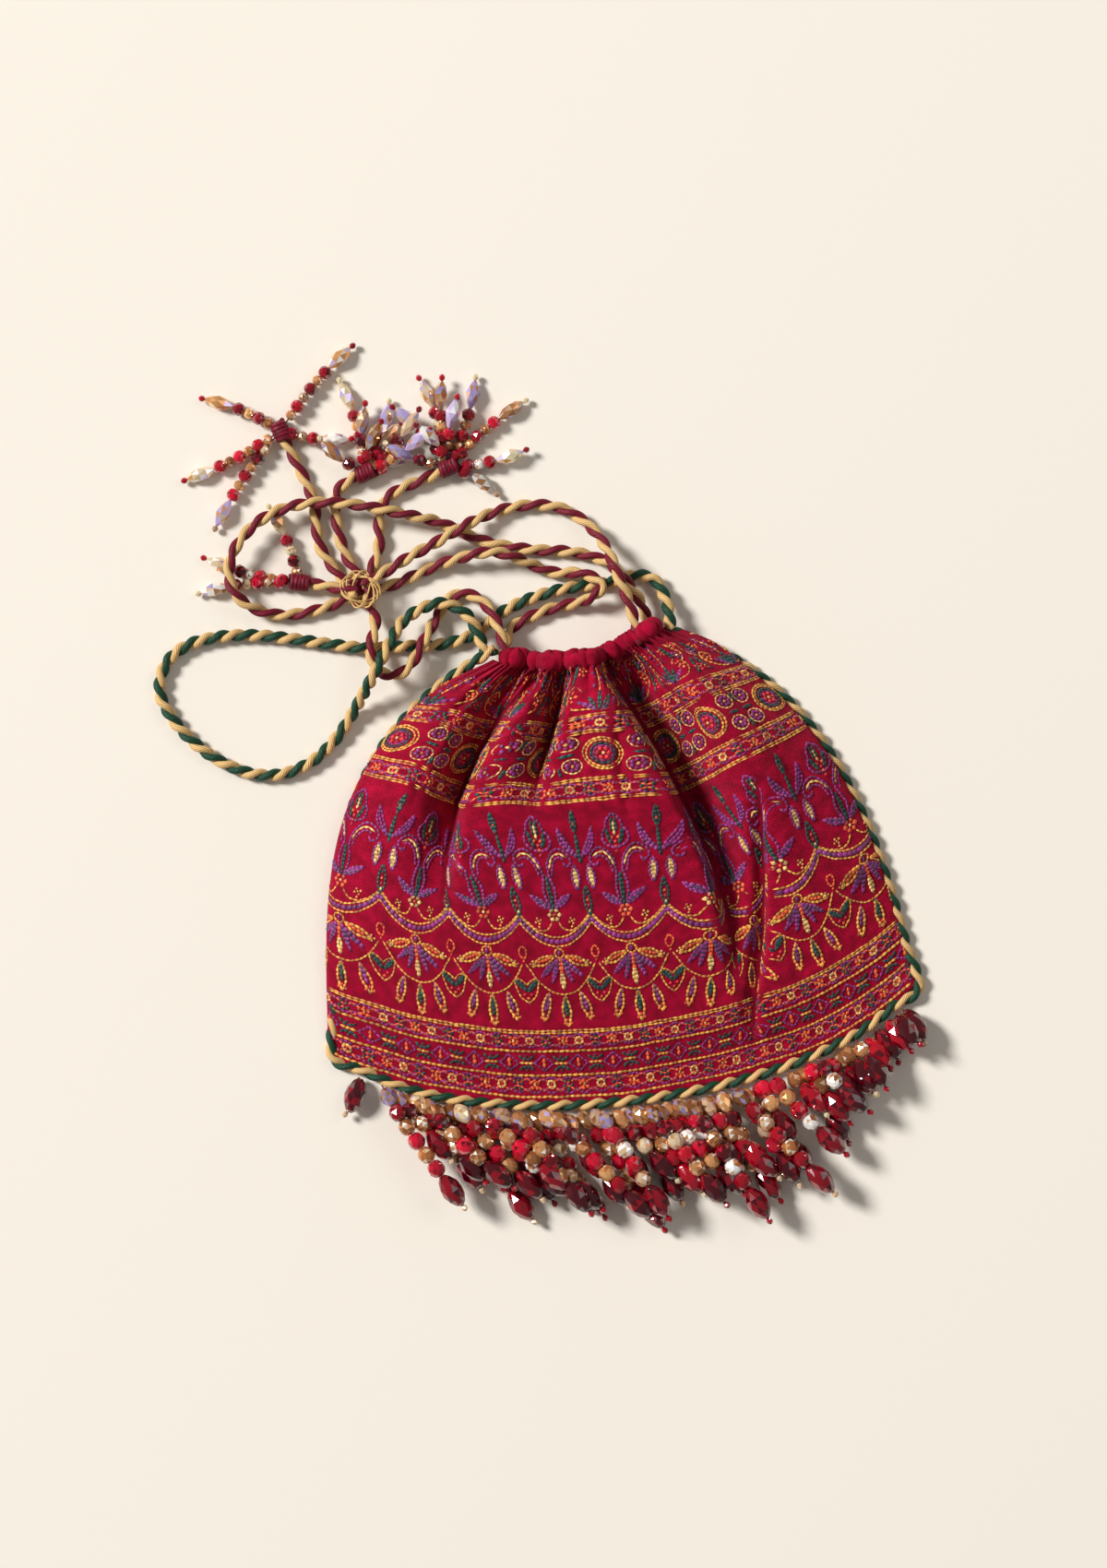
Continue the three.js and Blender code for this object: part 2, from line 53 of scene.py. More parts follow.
# Outline of the pouch
HEM_CORNER = (102.5, -57.0)
HEM_BOTTOM_Y = -85.2
HEM_HANDLE_X = 67.0
MOUTH_CORNER = (32.0, 75.7)
MOUTH_DIP_Y = 69.2
MOUTH_HANDLE_X = 16.0
LEFT_SHOULDER = (-97.0, 49.0)
LEFT_FLANK = (-97.5, -4.0)
RIGHT_SHOULDER = (85.0, 52.0)
RIGHT_FLANK = (95.5, -2.0)
EDGE_PUSH = 1.6
EDGE_SHARE = 0.03
PUSH_END = 0.9
LEFT_BULGE = 4.6
RIGHT_BULGE = 1.6
BULGE_PLACE = 0.02
BULGE_WIDTH = 0.042
MOUTH_RAISE = 5.0
RAISE_START = 0.7

# Cloth
CLOTH_THICKNESS = 1.2
BACK_STITCH_ROOM = 0.55
FLOOR_ROOM = 0.1
SEWN_GAP = 0.3
PUFF_HEIGHT = 24.0
SEAM_LIFT = 6.2
FRONT_MOUTH_LIFT = 3.3
FRONT_MOUTH_ARCH = 7.5
BACK_MOUTH_HEIGHT = 3.4
CORNER_SHARE = 0.09
PUFF_ROUNDNESS = 2.6
PUFF_FULLNESS = 0.6
LIFT_START = 0.84
MOUTH_BLEND_START = 0.84
PUFF_PROFILE = ((0, 0), (0.15, 0.4), (0.35, 0.8), (0.6, 1), (0.8, 1), (1, 0.8))
GATHER_COUNT = 9
FRONT_GATHER_HEIGHT = 1.4
BACK_GATHER_HEIGHT = 0.6
GATHER_START = 0.78

# Folds that run down from the mouth. Each has x, y and depth along its line, the widths of its two banks,
# how far a bank leans over it (to the right if positive), the cloth it hides and how far the pattern sags
FOLDS = (
    {"banks": (12, 4.6), "lean": -3.8, "hides": 9, "sag": 5.0,
     "line": ((-18, 67, 10), (-29, 57, 24), (-40, 44, 28), (-50, 27, 22), (-57, 6, 9), (-60, -10, 0))},
    {"banks": (7, 3.6), "lean": -2.8, "hides": 4, "sag": 4.0,
     "line": ((-6, 67, 10), (-9, 58, 19), (-13, 48, 18), (-19, 36, 10), (-25, 20, 0))},
    {"banks": (4.6, 13), "lean": 3.8, "hides": 12, "sag": 4.0,
     "line": ((8, 67, 11), (13, 56, 25), (22, 38, 29), (31, 14, 25), (38, -10, 16), (41, -28, 8),
              (42, -52, 0))},
    {"banks": (4, 5), "lean": -1.0, "hides": 3, "sag": 0.0,
     "line": ((18, 71, 3), (27, 60, 5), (37, 47, 4), (45, 34, 0))},
    {"banks": (4, 2.2), "lean": -1.8, "hides": 7, "sag": 0.0,
     "line": ((56, 24, 0), (57, 8, 4), (56, -12, 6), (53, -34, 5), (47, -58, 3), (44, -74, 0))},
    {"banks": (4, 4), "lean": -0.8, "hides": 1, "sag": 0.0,
     "line": ((-26, 67, 2), (-42, 60, 3), (-58, 50, 0))},
)
# Ridges between them: x, y and extra height along each
RIDGES = (
    {"width": 12, "line": ((-36, 66, 3), (-52, 54, 7), (-65, 38, 8), (-73, 15, 5), (-78, -12, 0))},
    {"width": 8, "line": ((-14, 64, 3), (-25, 50, 4), (-36, 30, 3), (-42, 8, 0))},
    {"width": 9, "line": ((1, 64, 4), (5, 50, 4), (12, 30, 3), (20, 5, 0))},
    {"width": 12, "line": ((28, 68, 3), (42, 56, 6), (55, 38, 7), (64, 12, 4), (68, -15, 0))},
)
STEEP_BANK = 5
STEEP_POWER = 3.4
GENTLE_POWER = 2.0
LEAN_MIDDLE_SHARE = 1.15
LEAN_WIDTH_SHARE = 0.9
SAG_WIDTH_SHARE = 1.1
SAG_END = 0.82
WRINKLE_COUNT = 22
PLEAT_COUNT = 42
PLEAT_HEIGHT = 1.7
PLEAT_START = 0.85

# Fine meshes of the cloth
FRONT_COLUMNS = 300
FRONT_ROWS = 160
BACK_COLUMNS = 150
BACK_ROWS = 110
CASING_RADIUS = 3.5
CASING_END_SHARE = 0.05
CASING_OVERLAP = 0.9
CASING_SIDES = 28
CASING_STEPS = 420
CASING_SIZE = 0.88
CASING_PLEAT = 0.2
CASING_TWIST = 0.08
CASING_WAVE = 0.09
CASING_SLANT = 0.125
CASING_CLOSING = 0.02
CASING_END_SIZE = 0.45

# The embroidered cloth, flat: its width, its height from hem to mouth, and one repeat of the pattern
CLOTH_WIDTH = 232.0
CLOTH_HEIGHT = 170.0
REPEAT = 27.2
REPEATS = 5
CENTRE_HEIGHT_OF_CLOTH = 159.0
SEAM_HEIGHT_OF_CLOTH = 173.0
EDGE_ROUNDNESS = 2.5
PATTERN_ZERO_U = 0.531
HIDDEN_EDGE = -1.2
MAP_ROWS = 180
MAP_COLUMNS = 900
FLAT_ROWS = 360
FLAT_COLUMNS = 930
LOWEST_PLACE = -2.0
MAP_ROUNDS = 6
MAP_STEP = 0.8
FOLD_LINE_WIDTH = 0.8

# Chain stitches
STITCH_PITCH = 1.6
STITCH_WIDTH = 1.25
STITCH_HEIGHT = 0.5
STITCH_OVERLAP = 0.38
STITCH_JITTER = 0.09
STITCH_SINK = 0.05
STITCH_EDGE_ROOM = 0.001
SHORTEST_STITCH = 0.35
LONGEST_STITCH = 2.0
LEAST_SQUEEZE = 0.4
SLOPE_REACH = 0.3
LEAF_ROW_ROOM = 0.85

# Cords
CORD_SIDES = 12
CORD_STEP = 0.8
PLY_OFFSET = 0.44
PLY_RADIUS = 0.54
PIPING_RADIUS = 2.2
PIPING_LEVEL = PIPING_RADIUS + 0.1
PIPING_OFFSET = PIPING_RADIUS + 2 * SEWN_GAP
PIPING_CORNER_ROOM = 1.3
LOOP_RADIUS = 2.4
DRAWSTRING_RADIUS = 2.3
PIPING_PITCH = 12.0
LOOP_PITCH = 10.5
MAROON_CORD_PITCH = 14.0
SEAM_END = 2.5
CASING_END = 5.0
KNOT_END = 6.0
HEAD_END = 3.0

LOOP_ROUTE = (
    (-35, 80.5, 8.3), (-36.4, 86.2, 8.1), (-39, 92.3, 8.2), (-43.3, 96.1, 8.2), (-48.4, 98.1, 8.2),
    (-53.8, 97.4, 8.2), (-59.1, 95.3, 8), (-63.5, 92.2, 8.8), (-67.1, 87.2, 11.8), (-70.8, 81.6, 13.8),
    (-74.6, 75.7, 13.6), (-79, 69.8, 9.4), (-84.1, 63.1, 4), (-91.1, 54.8, 2.5), (-100, 47.8, 2.5),
    (-110.6, 44.1, 2.5), (-121.2, 44.7, 2.5), (-132.1, 49.7, 2.5), (-141.8, 57.9, 2.5),
    (-149.3, 68.2, 2.5), (-152.8, 78.6, 2.5), (-149.6, 88, 2.5), (-141.6, 93.8, 2.5), (-129.9, 95.7, 2.5),
    (-116.6, 94.8, 2.5), (-102.9, 91.8, 2.5), (-89.2, 88.2, 2.5), (-76.1, 85.3, 2.5), (-62.8, 84.4, 2.5),
    (-50.1, 83.5, 2.5), (-40.9, 84.8, 2.5), (-33.8, 88, 2.5), (-26.6, 92.5, 2.5), (-18.5, 95.5, 2.5),
    (-9.5, 97.5, 2.5), (-0.7, 98.4, 2.5), (8, 98.4, 2.5), (15.5, 98.9, 2.5), (23, 100, 2.5),
    (28.8, 97.9, 3), (31.5, 92.6, 4.5), (32.6, 87.1, 6.8), (32.8, 80.9, 8.3),
)
DRAWSTRING_ROUTES = {
    "drawstring_left_front": (
        (-27.4, 80.1, 11.4), (-28.4, 85.6, 11), (-29.9, 90.2, 9), (-32.5, 95.9, 6), (-36.8, 99.7, 3.6),
        (-41.3, 100.9, 2.5), (-45.6, 99.1, 2.5), (-49.9, 94.2, 2.7), (-53.5, 89, 6.4), (-56.8, 84, 8.2),
        (-60.4, 78.7, 8.2), (-64.9, 74.9, 8.2), (-70, 74.5, 8.2), (-74, 78, 8.2), (-75.3, 83.5, 8.2),
        (-73.9, 89.4, 7.5), (-72.4, 94.6, 6), (-73.6, 100, 4.8),
    ),
    "drawstring_left_back": (
        (-26.6, 81.5, 4.2), (-25.1, 85.2, 3), (-21, 88.1, 2.5), (-15.1, 90.1, 2.5), (-8.9, 91.7, 2.5),
        (-2.8, 92.3, 3), (3.4, 92.9, 5.4), (7.9, 94.7, 8.2), (10, 97.8, 8.2), (7.3, 100.8, 7),
        (1.8, 103.2, 4.9), (-4.1, 103.9, 2.8), (-9.9, 105.9, 2.5), (-15.2, 108.9, 4), (-20.9, 111.9, 7.4),
        (-27, 114, 8.2), (-33.7, 114.1, 8.2), (-40.2, 113.2, 6), (-47.4, 112.1, 3.5), (-55.7, 109.6, 2.5),
        (-62.5, 107.4, 2.5), (-69.8, 106, 3.1),
    ),
    "drawstring_right_front": (
        (20.4, 79.7, 13), (19.4, 87, 13.4), (17.9, 93.5, 13.6), (16, 100.5, 13.6), (13.9, 108.1, 11.5),
        (10.5, 115.9, 7), (4.9, 122.9, 3.5), (-2.9, 127.9, 2.5), (-12.4, 129.7, 2.5), (-21.9, 129.2, 3),
        (-30.9, 126.9, 5.6), (-39.3, 123.5, 8.2), (-47.8, 119.8, 6.5), (-57, 116.2, 6.5),
        (-64.7, 112.6, 7.2), (-70.5, 109.9, 7.6),
    ),
    "drawstring_right_back": (
        (24.9, 80.5, 4.6), (24.1, 87.1, 6), (22.1, 92.4, 7.6), (19.3, 97.4, 8.2), (16.2, 102.1, 8),
        (12, 106.3, 4.5), (6, 109.4, 2.5), (-1.8, 111.7, 2.5), (-10.7, 113.1, 2.5), (-19.5, 115.1, 2.5),
        (-26.6, 117.3, 2.5), (-33, 120.1, 2.5), (-39.3, 123.9, 2.5), (-46.2, 127.7, 3.5),
        (-54, 130.3, 6.6), (-61.7, 132.9, 8.2), (-70.1, 135.6, 8.2), (-79.9, 138.1, 8.2),
        (-89.8, 139.3, 8.2), (-99.3, 138.7, 7.6), (-107.7, 136, 8.2), (-114.9, 131.2, 8.2),
        (-120.4, 124.5, 8.2), (-122.7, 117, 8.2), (-120.9, 109.7, 8.2), (-115.5, 104.4, 5.4),
        (-107.1, 101.1, 3), (-97.8, 100.6, 2.5), (-89.6, 101.7, 2.5), (-82.1, 103.8, 3.3),
    ),
}
TASSEL_CORD_ROUTES = {
    "tassel_cord_a": (
        (-82.2, 110, 3.5), (-86, 116.7, 2.6), (-89.3, 124.1, 2.5), (-89.6, 132.2, 2.5),
        (-89.5, 139.2, 2.5), (-91, 145.8, 2.5), (-93.5, 153.2, 2.5), (-96.8, 162.3, 3.4),
    ),
    "tassel_cord_b": (
        (-77.4, 112.7, 3.8), (-80.1, 119, 2.6), (-81.7, 125.9, 2.5), (-82.1, 133.3, 2.5),
        (-81.8, 138.7, 2.5), (-80.3, 143.2, 2.5), (-74.6, 146.7, 3.4),
    ),
    "tassel_cord_c": (
        (-72.6, 111.5, 3.1), (-69.2, 118, 2.5), (-67.5, 123.9, 2.5), (-67.1, 129.5, 2.5),
        (-65.8, 134.7, 2.5), (-62.4, 138.7, 2.5), (-56.7, 141.4, 2.6), (-50.4, 143, 3), (-44, 145.1, 3.4),
    ),
    "tassel_cord_d": ((-83, 107.2, 7.5), (-87.4, 108.8, 5.8), (-93, 110.6, 3.9)),
}
KNOT_CENTRE = (-76.3, 106.4, 5.2)
KNOT_RADIUS = 6.4
KNOT_HALF_HEIGHT = 5.0
KNOT_SCALE = 1.7
KNOT_RISE = 1.3
KNOT_CORD_RADIUS = 1.9
KNOT_PITCH = 9.0
KNOT_STEP = 0.5
KNOT_LOOPS = 5
LOOSE_THREAD_RADIUS = 0.32

# Beads: kind, length and radius
THREAD_RADIUS = 0.3
SEED = {"kind": "seed", "length": 2.4, "radius": 1.2}
DROP = {"kind": "drop", "length": 13.0, "radius": 3.9}
RED_BEAD = {"kind": "red", "length": 6.2, "radius": 3.15}
PEARL_BEAD = {"kind": "pearl", "length": 6.0, "radius": 3.0}
OVAL_BEAD = {"kind": "oval", "length": 8.0, "radius": 3.0}
SLIM_DROP = {"kind": "slim", "length": 10.5, "radius": 2.6}
RED_ROUND = {"kind": "red", "length": 4.4, "radius": 2.5}
GOLD_ROUND = {"kind": "pearl", "length": 3.5, "radius": 2.0}
FRINGE_BEADS = (SEED, DROP, PEARL_BEAD, RED_BEAD, PEARL_BEAD, RED_BEAD, OVAL_BEAD)
TASSEL_BEADS = (SEED, SLIM_DROP, RED_ROUND, GOLD_ROUND, RED_ROUND, GOLD_ROUND, RED_ROUND, GOLD_ROUND)

# Fringe
STRAND_COUNT = 26
FIRST_STRAND_SHARE = 0.04
LAST_STRAND_SHARE = 0.95
CORNER_STRAND_LEAN = -120.0
LEFT_STRAND_LEAN = -53.0
RIGHT_STRAND_LEAN = -62.0
LAST_STRAND_BEADS = 2
BEADS_SHRINK_START = 0.62
LAYER_ROOM = 0.5
ROW_RISE = 9.0
FIRST_RISE_SHARE = 0.8
LOWER_SEAT_ANGLE = 15.0
UPPER_SEAT_ANGLE = 50.0
STRAND_SCATTER = 0.22
LEAN_SCATTER = 9.0
LAYER_RISE = 4.6
STRAND_SWAY = 1.6
EXTRA_BEADS = ((0, 0, 1, -1), (-1, -2, -2, 0))

# Tassels: the head, the way in which its cord comes in, and where each strand ends
HEAD_RADIUS = 3.3
HEAD_HALF_LENGTH = 4.2
HEAD_TURNS = 5
HEAD_CORD_RADIUS = 0.95
HEAD_TAPER = 0.25
TASSEL_BEND = 1.6
TASSELS = {
    "tassel_a": {"head": (-98.3, 166.8, 3.6), "from": (-0.32, 0.95, 0),
                 "ends": ((-126.3, 182.2, 2.5), (-136.2, 152.9, 2.5), (-126.7, 133.6, 2.5), (-68, 195, 2.5),
                          (-72, 161, 2.5))},
    "tassel_b": {"head": (-69.6, 148.3, 3.6), "from": (0.95, 0.3, 0),
                 "ends": ((-75.5, 183.6, 2.5), (-66.4, 174, 5), (-58, 174, 2.5), (-53.4, 165, 5),
                          (-50.4, 156, 2.5), (-85, 163, 8), (-47, 169, 9), (-61, 166, 11), (-44, 161, 11))},
    "tassel_c": {"head": (-39.6, 146.7, 3.6), "from": (0.94, 0.35, 0),
                 "ends": ((-47, 181, 2.5), (-38, 180, 5), (-26, 179, 2.5), (-8.2, 167.8, 2.5),
                          (-10, 149.8, 4), (-23, 134, 2.5), (-58, 171, 8), (-62, 158, 10), (-50, 163, 13),
                          (-33, 172, 9))},
    "tassel_d": {"head": (-98.1, 111.7, 3.6), "from": (-0.98, 0.2, 0),
                 "ends": ((-106.4, 141.3, 2.5), (-132.4, 125.2, 2.5), (-136, 111.9, 2.5))},
}


# Numbers and curves
def lerp(a, b, share):
    return a + (b - a) * share


def smoothstep(x, low, high):
    share = np.clip((x - low) / (high - low), 0.0, 1.0)
    return share * share * (3 - 2 * share)


def unit(vectors):
    return vectors / np.maximum(np.linalg.norm(vectors, axis=-1, keepdims=True), 1e-9)


def run_along(points):
    """How far along a line each of its points is."""
    return np.concatenate([[0], np.cumsum(np.linalg.norm(np.diff(points, axis=0), axis=1))])


def points_at(places, along, points):
    return np.stack([np.interp(places, along, column) for column in points.T], axis=-1)


class Outline:
    """A cubic Bezier curve in the plane, read by the share of its length."""

    def __init__(self, *controls):
        t = np.linspace(0, 1, 401)[:, None]
        a, b, c, d = (np.array(p, float) for p in controls)
        self.points = a * (1 - t) ** 3 + 3 * b * t * (1 - t) ** 2 + 3 * c * t ** 2 * (1 - t) + d * t ** 3
        along = run_along(self.points)
        self.shares = along / along[-1]

    def at(self, share):
        return (np.interp(share, self.shares, self.points[:, 0]),
                np.interp(share, self.shares, self.points[:, 1]))

    def outward(self, share, distance):
        """A point beside the curve, on the right of its run."""
        x, y = self.at(share)
        x0, y0 = self.at(share - 0.003)
        x1, y1 = self.at(share + 0.003)
        length = math.hypot(x1 - x0, y1 - y0)
        return x + (y1 - y0) / length * distance, y - (x1 - x0) / length * distance


def route_curve(route, step=CORD_STEP):
    """Evenly spaced points on a centripetal Catmull-Rom curve through the route."""
    p = np.array(route, float)
    p = np.vstack([2 * p[0] - p[1], p, 2 * p[-1] - p[-2]])
    fine = []
    share = np.linspace(0, 1, 32, endpoint=False)[:, None]
    for p0, p1, p2, p3 in zip(p, p[1:], p[2:], p[3:]):
        d0, d1, d2 = (math.sqrt(np.linalg.norm(b - a)) for a, b in ((p0, p1), (p1, p2), (p2, p3)))
        leave = ((p1 - p0) / d0 - (p2 - p0) / (d0 + d1) + (p2 - p1) / d1) * d1
        arrive = ((p2 - p1) / d1 - (p3 - p1) / (d1 + d2) + (p3 - p2) / d2) * d1
        fine.append(p1 + leave * share + (3 * (p2 - p1) - 2 * leave - arrive) * share ** 2
                    + (2 * (p1 - p2) + leave + arrive) * share ** 3)
    fine = np.vstack(fine + [p[-2:-1]])
    along = run_along(fine)
    even = np.linspace(0, along[-1], max(2, math.ceil(along[-1] / step)) + 1)
    return points_at(even, along, fine)


def frames_along(points):
    """Two sides of a line that turn as little as possible along its points."""
    tangents = unit(np.gradient(points, axis=0))
    side = np.cross(tangents[0], (0.0, 0.0, 1.0))
    sides = []
    for tangent in tangents:
        side = unit(side - tangent * np.dot(side, tangent))
        sides.append(side)
    sides = np.array(sides)
    return sides, np.cross(sides, tangents)


# Meshes
def make_piece(name, points, faces, materials, slots=None, uv=None, smooth=True):
    """A mesh object from points in millimetres; uv has one pair for each corner of each face."""
    mesh = bpy.data.meshes.new(name)
    mesh.from_pydata((np.asarray(points) * MM).tolist(), [], [list(face) for face in faces])
    for material in materials:
        mesh.materials.append(material)
    if slots is not None:
        mesh.polygons.foreach_set("material_index", np.asarray(slots, np.int32))
    mesh.polygons.foreach_set("use_smooth", np.full(len(mesh.polygons), smooth))
    if uv is not None:
        layer = mesh.uv_layers.new(name="lay")
        layer.data.foreach_set("uv", np.asarray(uv, np.float32).ravel())
    mesh.update()
    piece = bpy.data.objects.new(name, mesh)
    bpy.context.scene.collection.objects.link(piece)
    return piece


def dress(piece, node=None):
    """Fix a piece to the bag, and hide the CAD node that it replaces."""
    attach(piece, BODY)
    if node:
        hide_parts(node)
    return piece


def grid_faces(rows, columns, start=0, flip=False):
    """Quads of a grid of points that lie row by row."""
    index = start + np.arange(rows * columns).reshape(rows, columns)
    quads = np.stack([index[:-1, :-1], index[:-1, 1:], index[1:, 1:], index[1:, :-1]], axis=-1)
    quads = quads.reshape(-1, 4)
    return quads[:, ::-1] if flip else quads


def tube(rings):
    """Points and faces of a closed tube through rings of points, with a fan at each end."""
    rings = np.asarray(rings)
    count, sides, _ = rings.shape
    index = np.arange(count * sides).reshape(count, sides)
    following = np.roll(index, -1, axis=1)
    faces = np.stack([index[:-1], following[:-1], following[1:], index[1:]], axis=-1).reshape(-1, 4).tolist()
    first, last = count * sides, count * sides + 1
    faces += [[first, b, a] for a, b in zip(index[0], following[0])]
    faces += [[last, a, b] for a, b in zip(index[-1], following[-1])]
    ends = np.stack([rings[0].mean(axis=0), rings[-1].mean(axis=0)])
    return np.vstack([rings.reshape(-1, 3), ends]), faces


def round_tube(path, radius, corners):
    """A closed tube of even thickness along a path."""
    sides, ups = frames_along(path)
    angles = np.linspace(0, 2 * math.pi, corners, endpoint=False)[:, None]
    return tube(path[:, None] + radius * (sides[:, None] * np.cos(angles) + ups[:, None] * np.sin(angles)))


def joined(parts):
    """One set of points and faces from several, with the slot of each face."""
    points, faces, slots = [], [], []
    start = 0
    for part_points, part_faces, slot in parts:
        points.append(part_points)
        faces += [[start + i for i in face] for face in part_faces]
        slots += [slot] * len(part_faces) if np.isscalar(slot) else list(slot)
        start += len(part_points)
    return np.vstack(points), faces, slots


# Node materials
def new_material(name, colour, roughness, **inputs):
    material = bpy.data.materials.new(name)
    material.use_nodes = True
    shader = material.node_tree.nodes["Principled BSDF"]
    shader.inputs["Base Color"].default_value = linear(colour)
    shader.inputs["Roughness"].default_value = roughness
    for socket, value in inputs.items():
        shader.inputs[socket.replace("_", " ")].default_value = value
    return material


def linear(colour):
    """A linear colour from sRGB numbers up to 255."""
    shares = [c / 255 for c in colour]
    return (*(s / 12.92 if s <= 0.04045 else ((s + 0.055) / 1.055) ** 2.4 for s in shares), 1.0)


class Nodes:
    """Short names for the nodes of one material."""

    def __init__(self, material):
        self.tree = material.node_tree
        self.shader = self.tree.nodes["Principled BSDF"]

    def node(self, kind, values=None, **settings):
        made = self.tree.nodes.new("ShaderNode" + kind)
        for key, value in settings.items():
            setattr(made, key, value)
        for socket, value in (values or {}).items():
            if isinstance(value, bpy.types.NodeSocket):
                self.tree.links.new(value, made.inputs[socket])
            else:
                made.inputs[socket].default_value = value
        return made

    def math(self, operation, a, b=0.0):
        return self.node("Math", {0: a, 1: b}, operation=operation).outputs[0]

    def place(self):
        return self.node("TexCoord").outputs["Object"]

    def lay(self):
        return self.node("UVMap", uv_map="lay").outputs["UV"]

    def noise(self, place, scale, detail, roughness):
        values = {"Vector": place, "Scale": scale, "Detail": detail, "Roughness": roughness}
        return self.node("TexNoise", values).outputs["Fac"]

    def ramp(self, share, stops):
        made = self.node("ValToRGB", {"Fac": share})
        elements = made.color_ramp.elements
        while len(elements) < len(stops):
            elements.new(0.5)
        for element, (place, colour) in zip(elements, stops):
            element.position = place
            element.color = linear(colour)
        return made.outputs["Color"]

    def colour(self, socket):
        self.tree.links.new(socket, self.shader.inputs["Base Color"])

    def bump(self, height, distance, strength):
        made = self.node("Bump", {"Height": height, "Distance": distance * MM, "Strength": strength})
        self.tree.links.new(made.outputs["Normal"], self.shader.inputs["Normal"])


def shade(colour, factor):
    return tuple(min(255, c * factor) for c in colour)


WEAVE_PITCH = 0.62
SHEEN_TINT = (255, 150, 175)


def cloth_material(name, colour):
    """Woven wool: threads both ways along the cloth, with slubs and a soft sheen. Its colour is painted
    shade in the gaps of the weave and a painted pink highlight on the raised threads.
    """
    material = new_material(name, colour, 0.85, Sheen_Weight=0.08, Sheen_Roughness=0.4,
                            Specular_IOR_Level=0.12)
    nodes = Nodes(material)
    nodes.shader.inputs["Sheen Tint"].default_value = linear(SHEEN_TINT)
    lay = nodes.lay()
    axes = nodes.node("SeparateXYZ", {0: lay})
    warp, weft = (nodes.math("SINE", nodes.math("MULTIPLY", axes.outputs[axis], 2 * math.pi / WEAVE_PITCH))
                  for axis in "XY")
    over = nodes.math("MULTIPLY", warp, weft)
    grain = nodes.noise(lay, 1.6, 3.0, 0.6)
    slub = nodes.noise(lay, 0.22, 2.0, 0.5)
    weave = nodes.math("ADD", nodes.math("MULTIPLY", over, 0.5), nodes.math("MULTIPLY", grain, 0.9))
    tone = nodes.math("ADD", nodes.math("MULTIPLY", weave, 0.5), nodes.math("MULTIPLY", slub, 0.55))
    # Painted shade and highlight: dark crimson where the weave sinks and pink where it rises; the slubs vary
    # the tone at random
    nodes.colour(nodes.ramp(tone, ((0.15, shade(colour, 0.4)), (0.5, shade(colour, 0.95)),
                                   (0.9, (min(255, colour[0] * 1.45), colour[1] * 3, colour[2] * 1.9)))))
    nodes.bump(weave, 0.4, 0.9)
    return material


def thread_material(name, colour):
    """Silk embroidery thread: fine strands and a dull shine."""
    material = new_material(name, colour, 0.42, Sheen_Weight=0.15, Specular_IOR_Level=0.45)
    nodes = Nodes(material)
    place = nodes.place()
    strands = nodes.noise(place, 1600.0, 2.0, 0.7)
    stitch = nodes.node("NewGeometry").outputs["Random Per Island"]
    tone = nodes.math("ADD", nodes.math("MULTIPLY", strands, 0.55), nodes.math("MULTIPLY", stitch, 0.45))
    nodes.colour(nodes.ramp(tone, ((0.15, shade(colour, 0.45)), (0.5, colour), (0.85, shade(colour, 1.35)))))
    nodes.bump(strands, 0.15, 0.7)
    return material


def ply_material(name, colour, light):
    """One ply of a silky cord, laid from fine yarns that run round it."""
    material = new_material(name, colour, 0.5, Sheen_Weight=0.06, Sheen_Roughness=0.4,
                            Specular_IOR_Level=0.3)
    nodes = Nodes(material)
    axes = nodes.node("SeparateXYZ", {0: nodes.lay()})
    turn = nodes.math("ADD", nodes.math("MULTIPLY", axes.outputs["X"], 9.0),
                      nodes.math("MULTIPLY", axes.outputs["Y"], 0.16))
    wobble = nodes.noise(nodes.place(), 420.0, 2.0, 0.6)
    yarn = nodes.math("SINE", nodes.math("MULTIPLY", nodes.math("ADD", turn, wobble), 2 * math.pi))
    fibre = nodes.noise(nodes.place(), 2600.0, 2.0, 0.7)
    tone = nodes.math("ADD", nodes.math("MULTIPLY", yarn, 0.17),
                      nodes.math("ADD", nodes.math("MULTIPLY", fibre, 0.4), 0.3))
    nodes.colour(nodes.ramp(tone, ((0.2, shade(colour, 0.6)), (0.5, colour), (0.85, light))))
    nodes.bump(tone, 0.35, 0.8)
    return material


GLASS_SPREAD = 0.25


def glass_material(name, colour, clearness, roughness, metal):
    """Cut glass, partly silvered if metal is over 0, whose tint changes a little from bead to bead."""
    material = new_material(name, colour, roughness, Transmission_Weight=clearness, IOR=1.52, Metallic=metal,
                            Coat_Weight=0.3, Coat_Roughness=0.03, Specular_IOR_Level=0.5)
    nodes = Nodes(material)
    bead = nodes.node("NewGeometry").outputs["Random Per Island"]
    cloud = nodes.noise(nodes.place(), 300.0, 1.0, 0.5)
    tone = nodes.math("ADD", nodes.math("MULTIPLY", bead, 0.7), nodes.math("MULTIPLY", cloud, 0.3))
    nodes.colour(nodes.ramp(tone, ((0.1, shade(colour, 1 - GLASS_SPREAD)), (0.5, colour),
                                   (0.9, shade(colour, 1 + GLASS_SPREAD)))))
    return material


CRIMSON = (176, 4, 44)
cloth = cloth_material("embroidered_wool", CRIMSON)
# The casing's wool is a copy of the cloth's wool made lighter: painted light on the casing
casing_wool_painted_lighter = cloth_material("plain_wool", shade(CRIMSON, 1.03))
THREAD_COLOURS = {
    "gold": (228, 152, 62),
    "cream": (230, 176, 106),
    "orange": (236, 90, 40),
    "red": (220, 40, 48),
    "purple": (132, 38, 112),
    "green": (22, 66, 60),
}
THREADS = {key: thread_material(f"{key}_thread", colour) for key, colour in THREAD_COLOURS.items()}
gold_ply = ply_material("gold_ply", (226, 180, 112), (248, 216, 158))
maroon_ply = ply_material("maroon_ply", (112, 6, 34), (156, 22, 54))
green_ply = ply_material("green_ply", (10, 58, 38), (34, 96, 68))
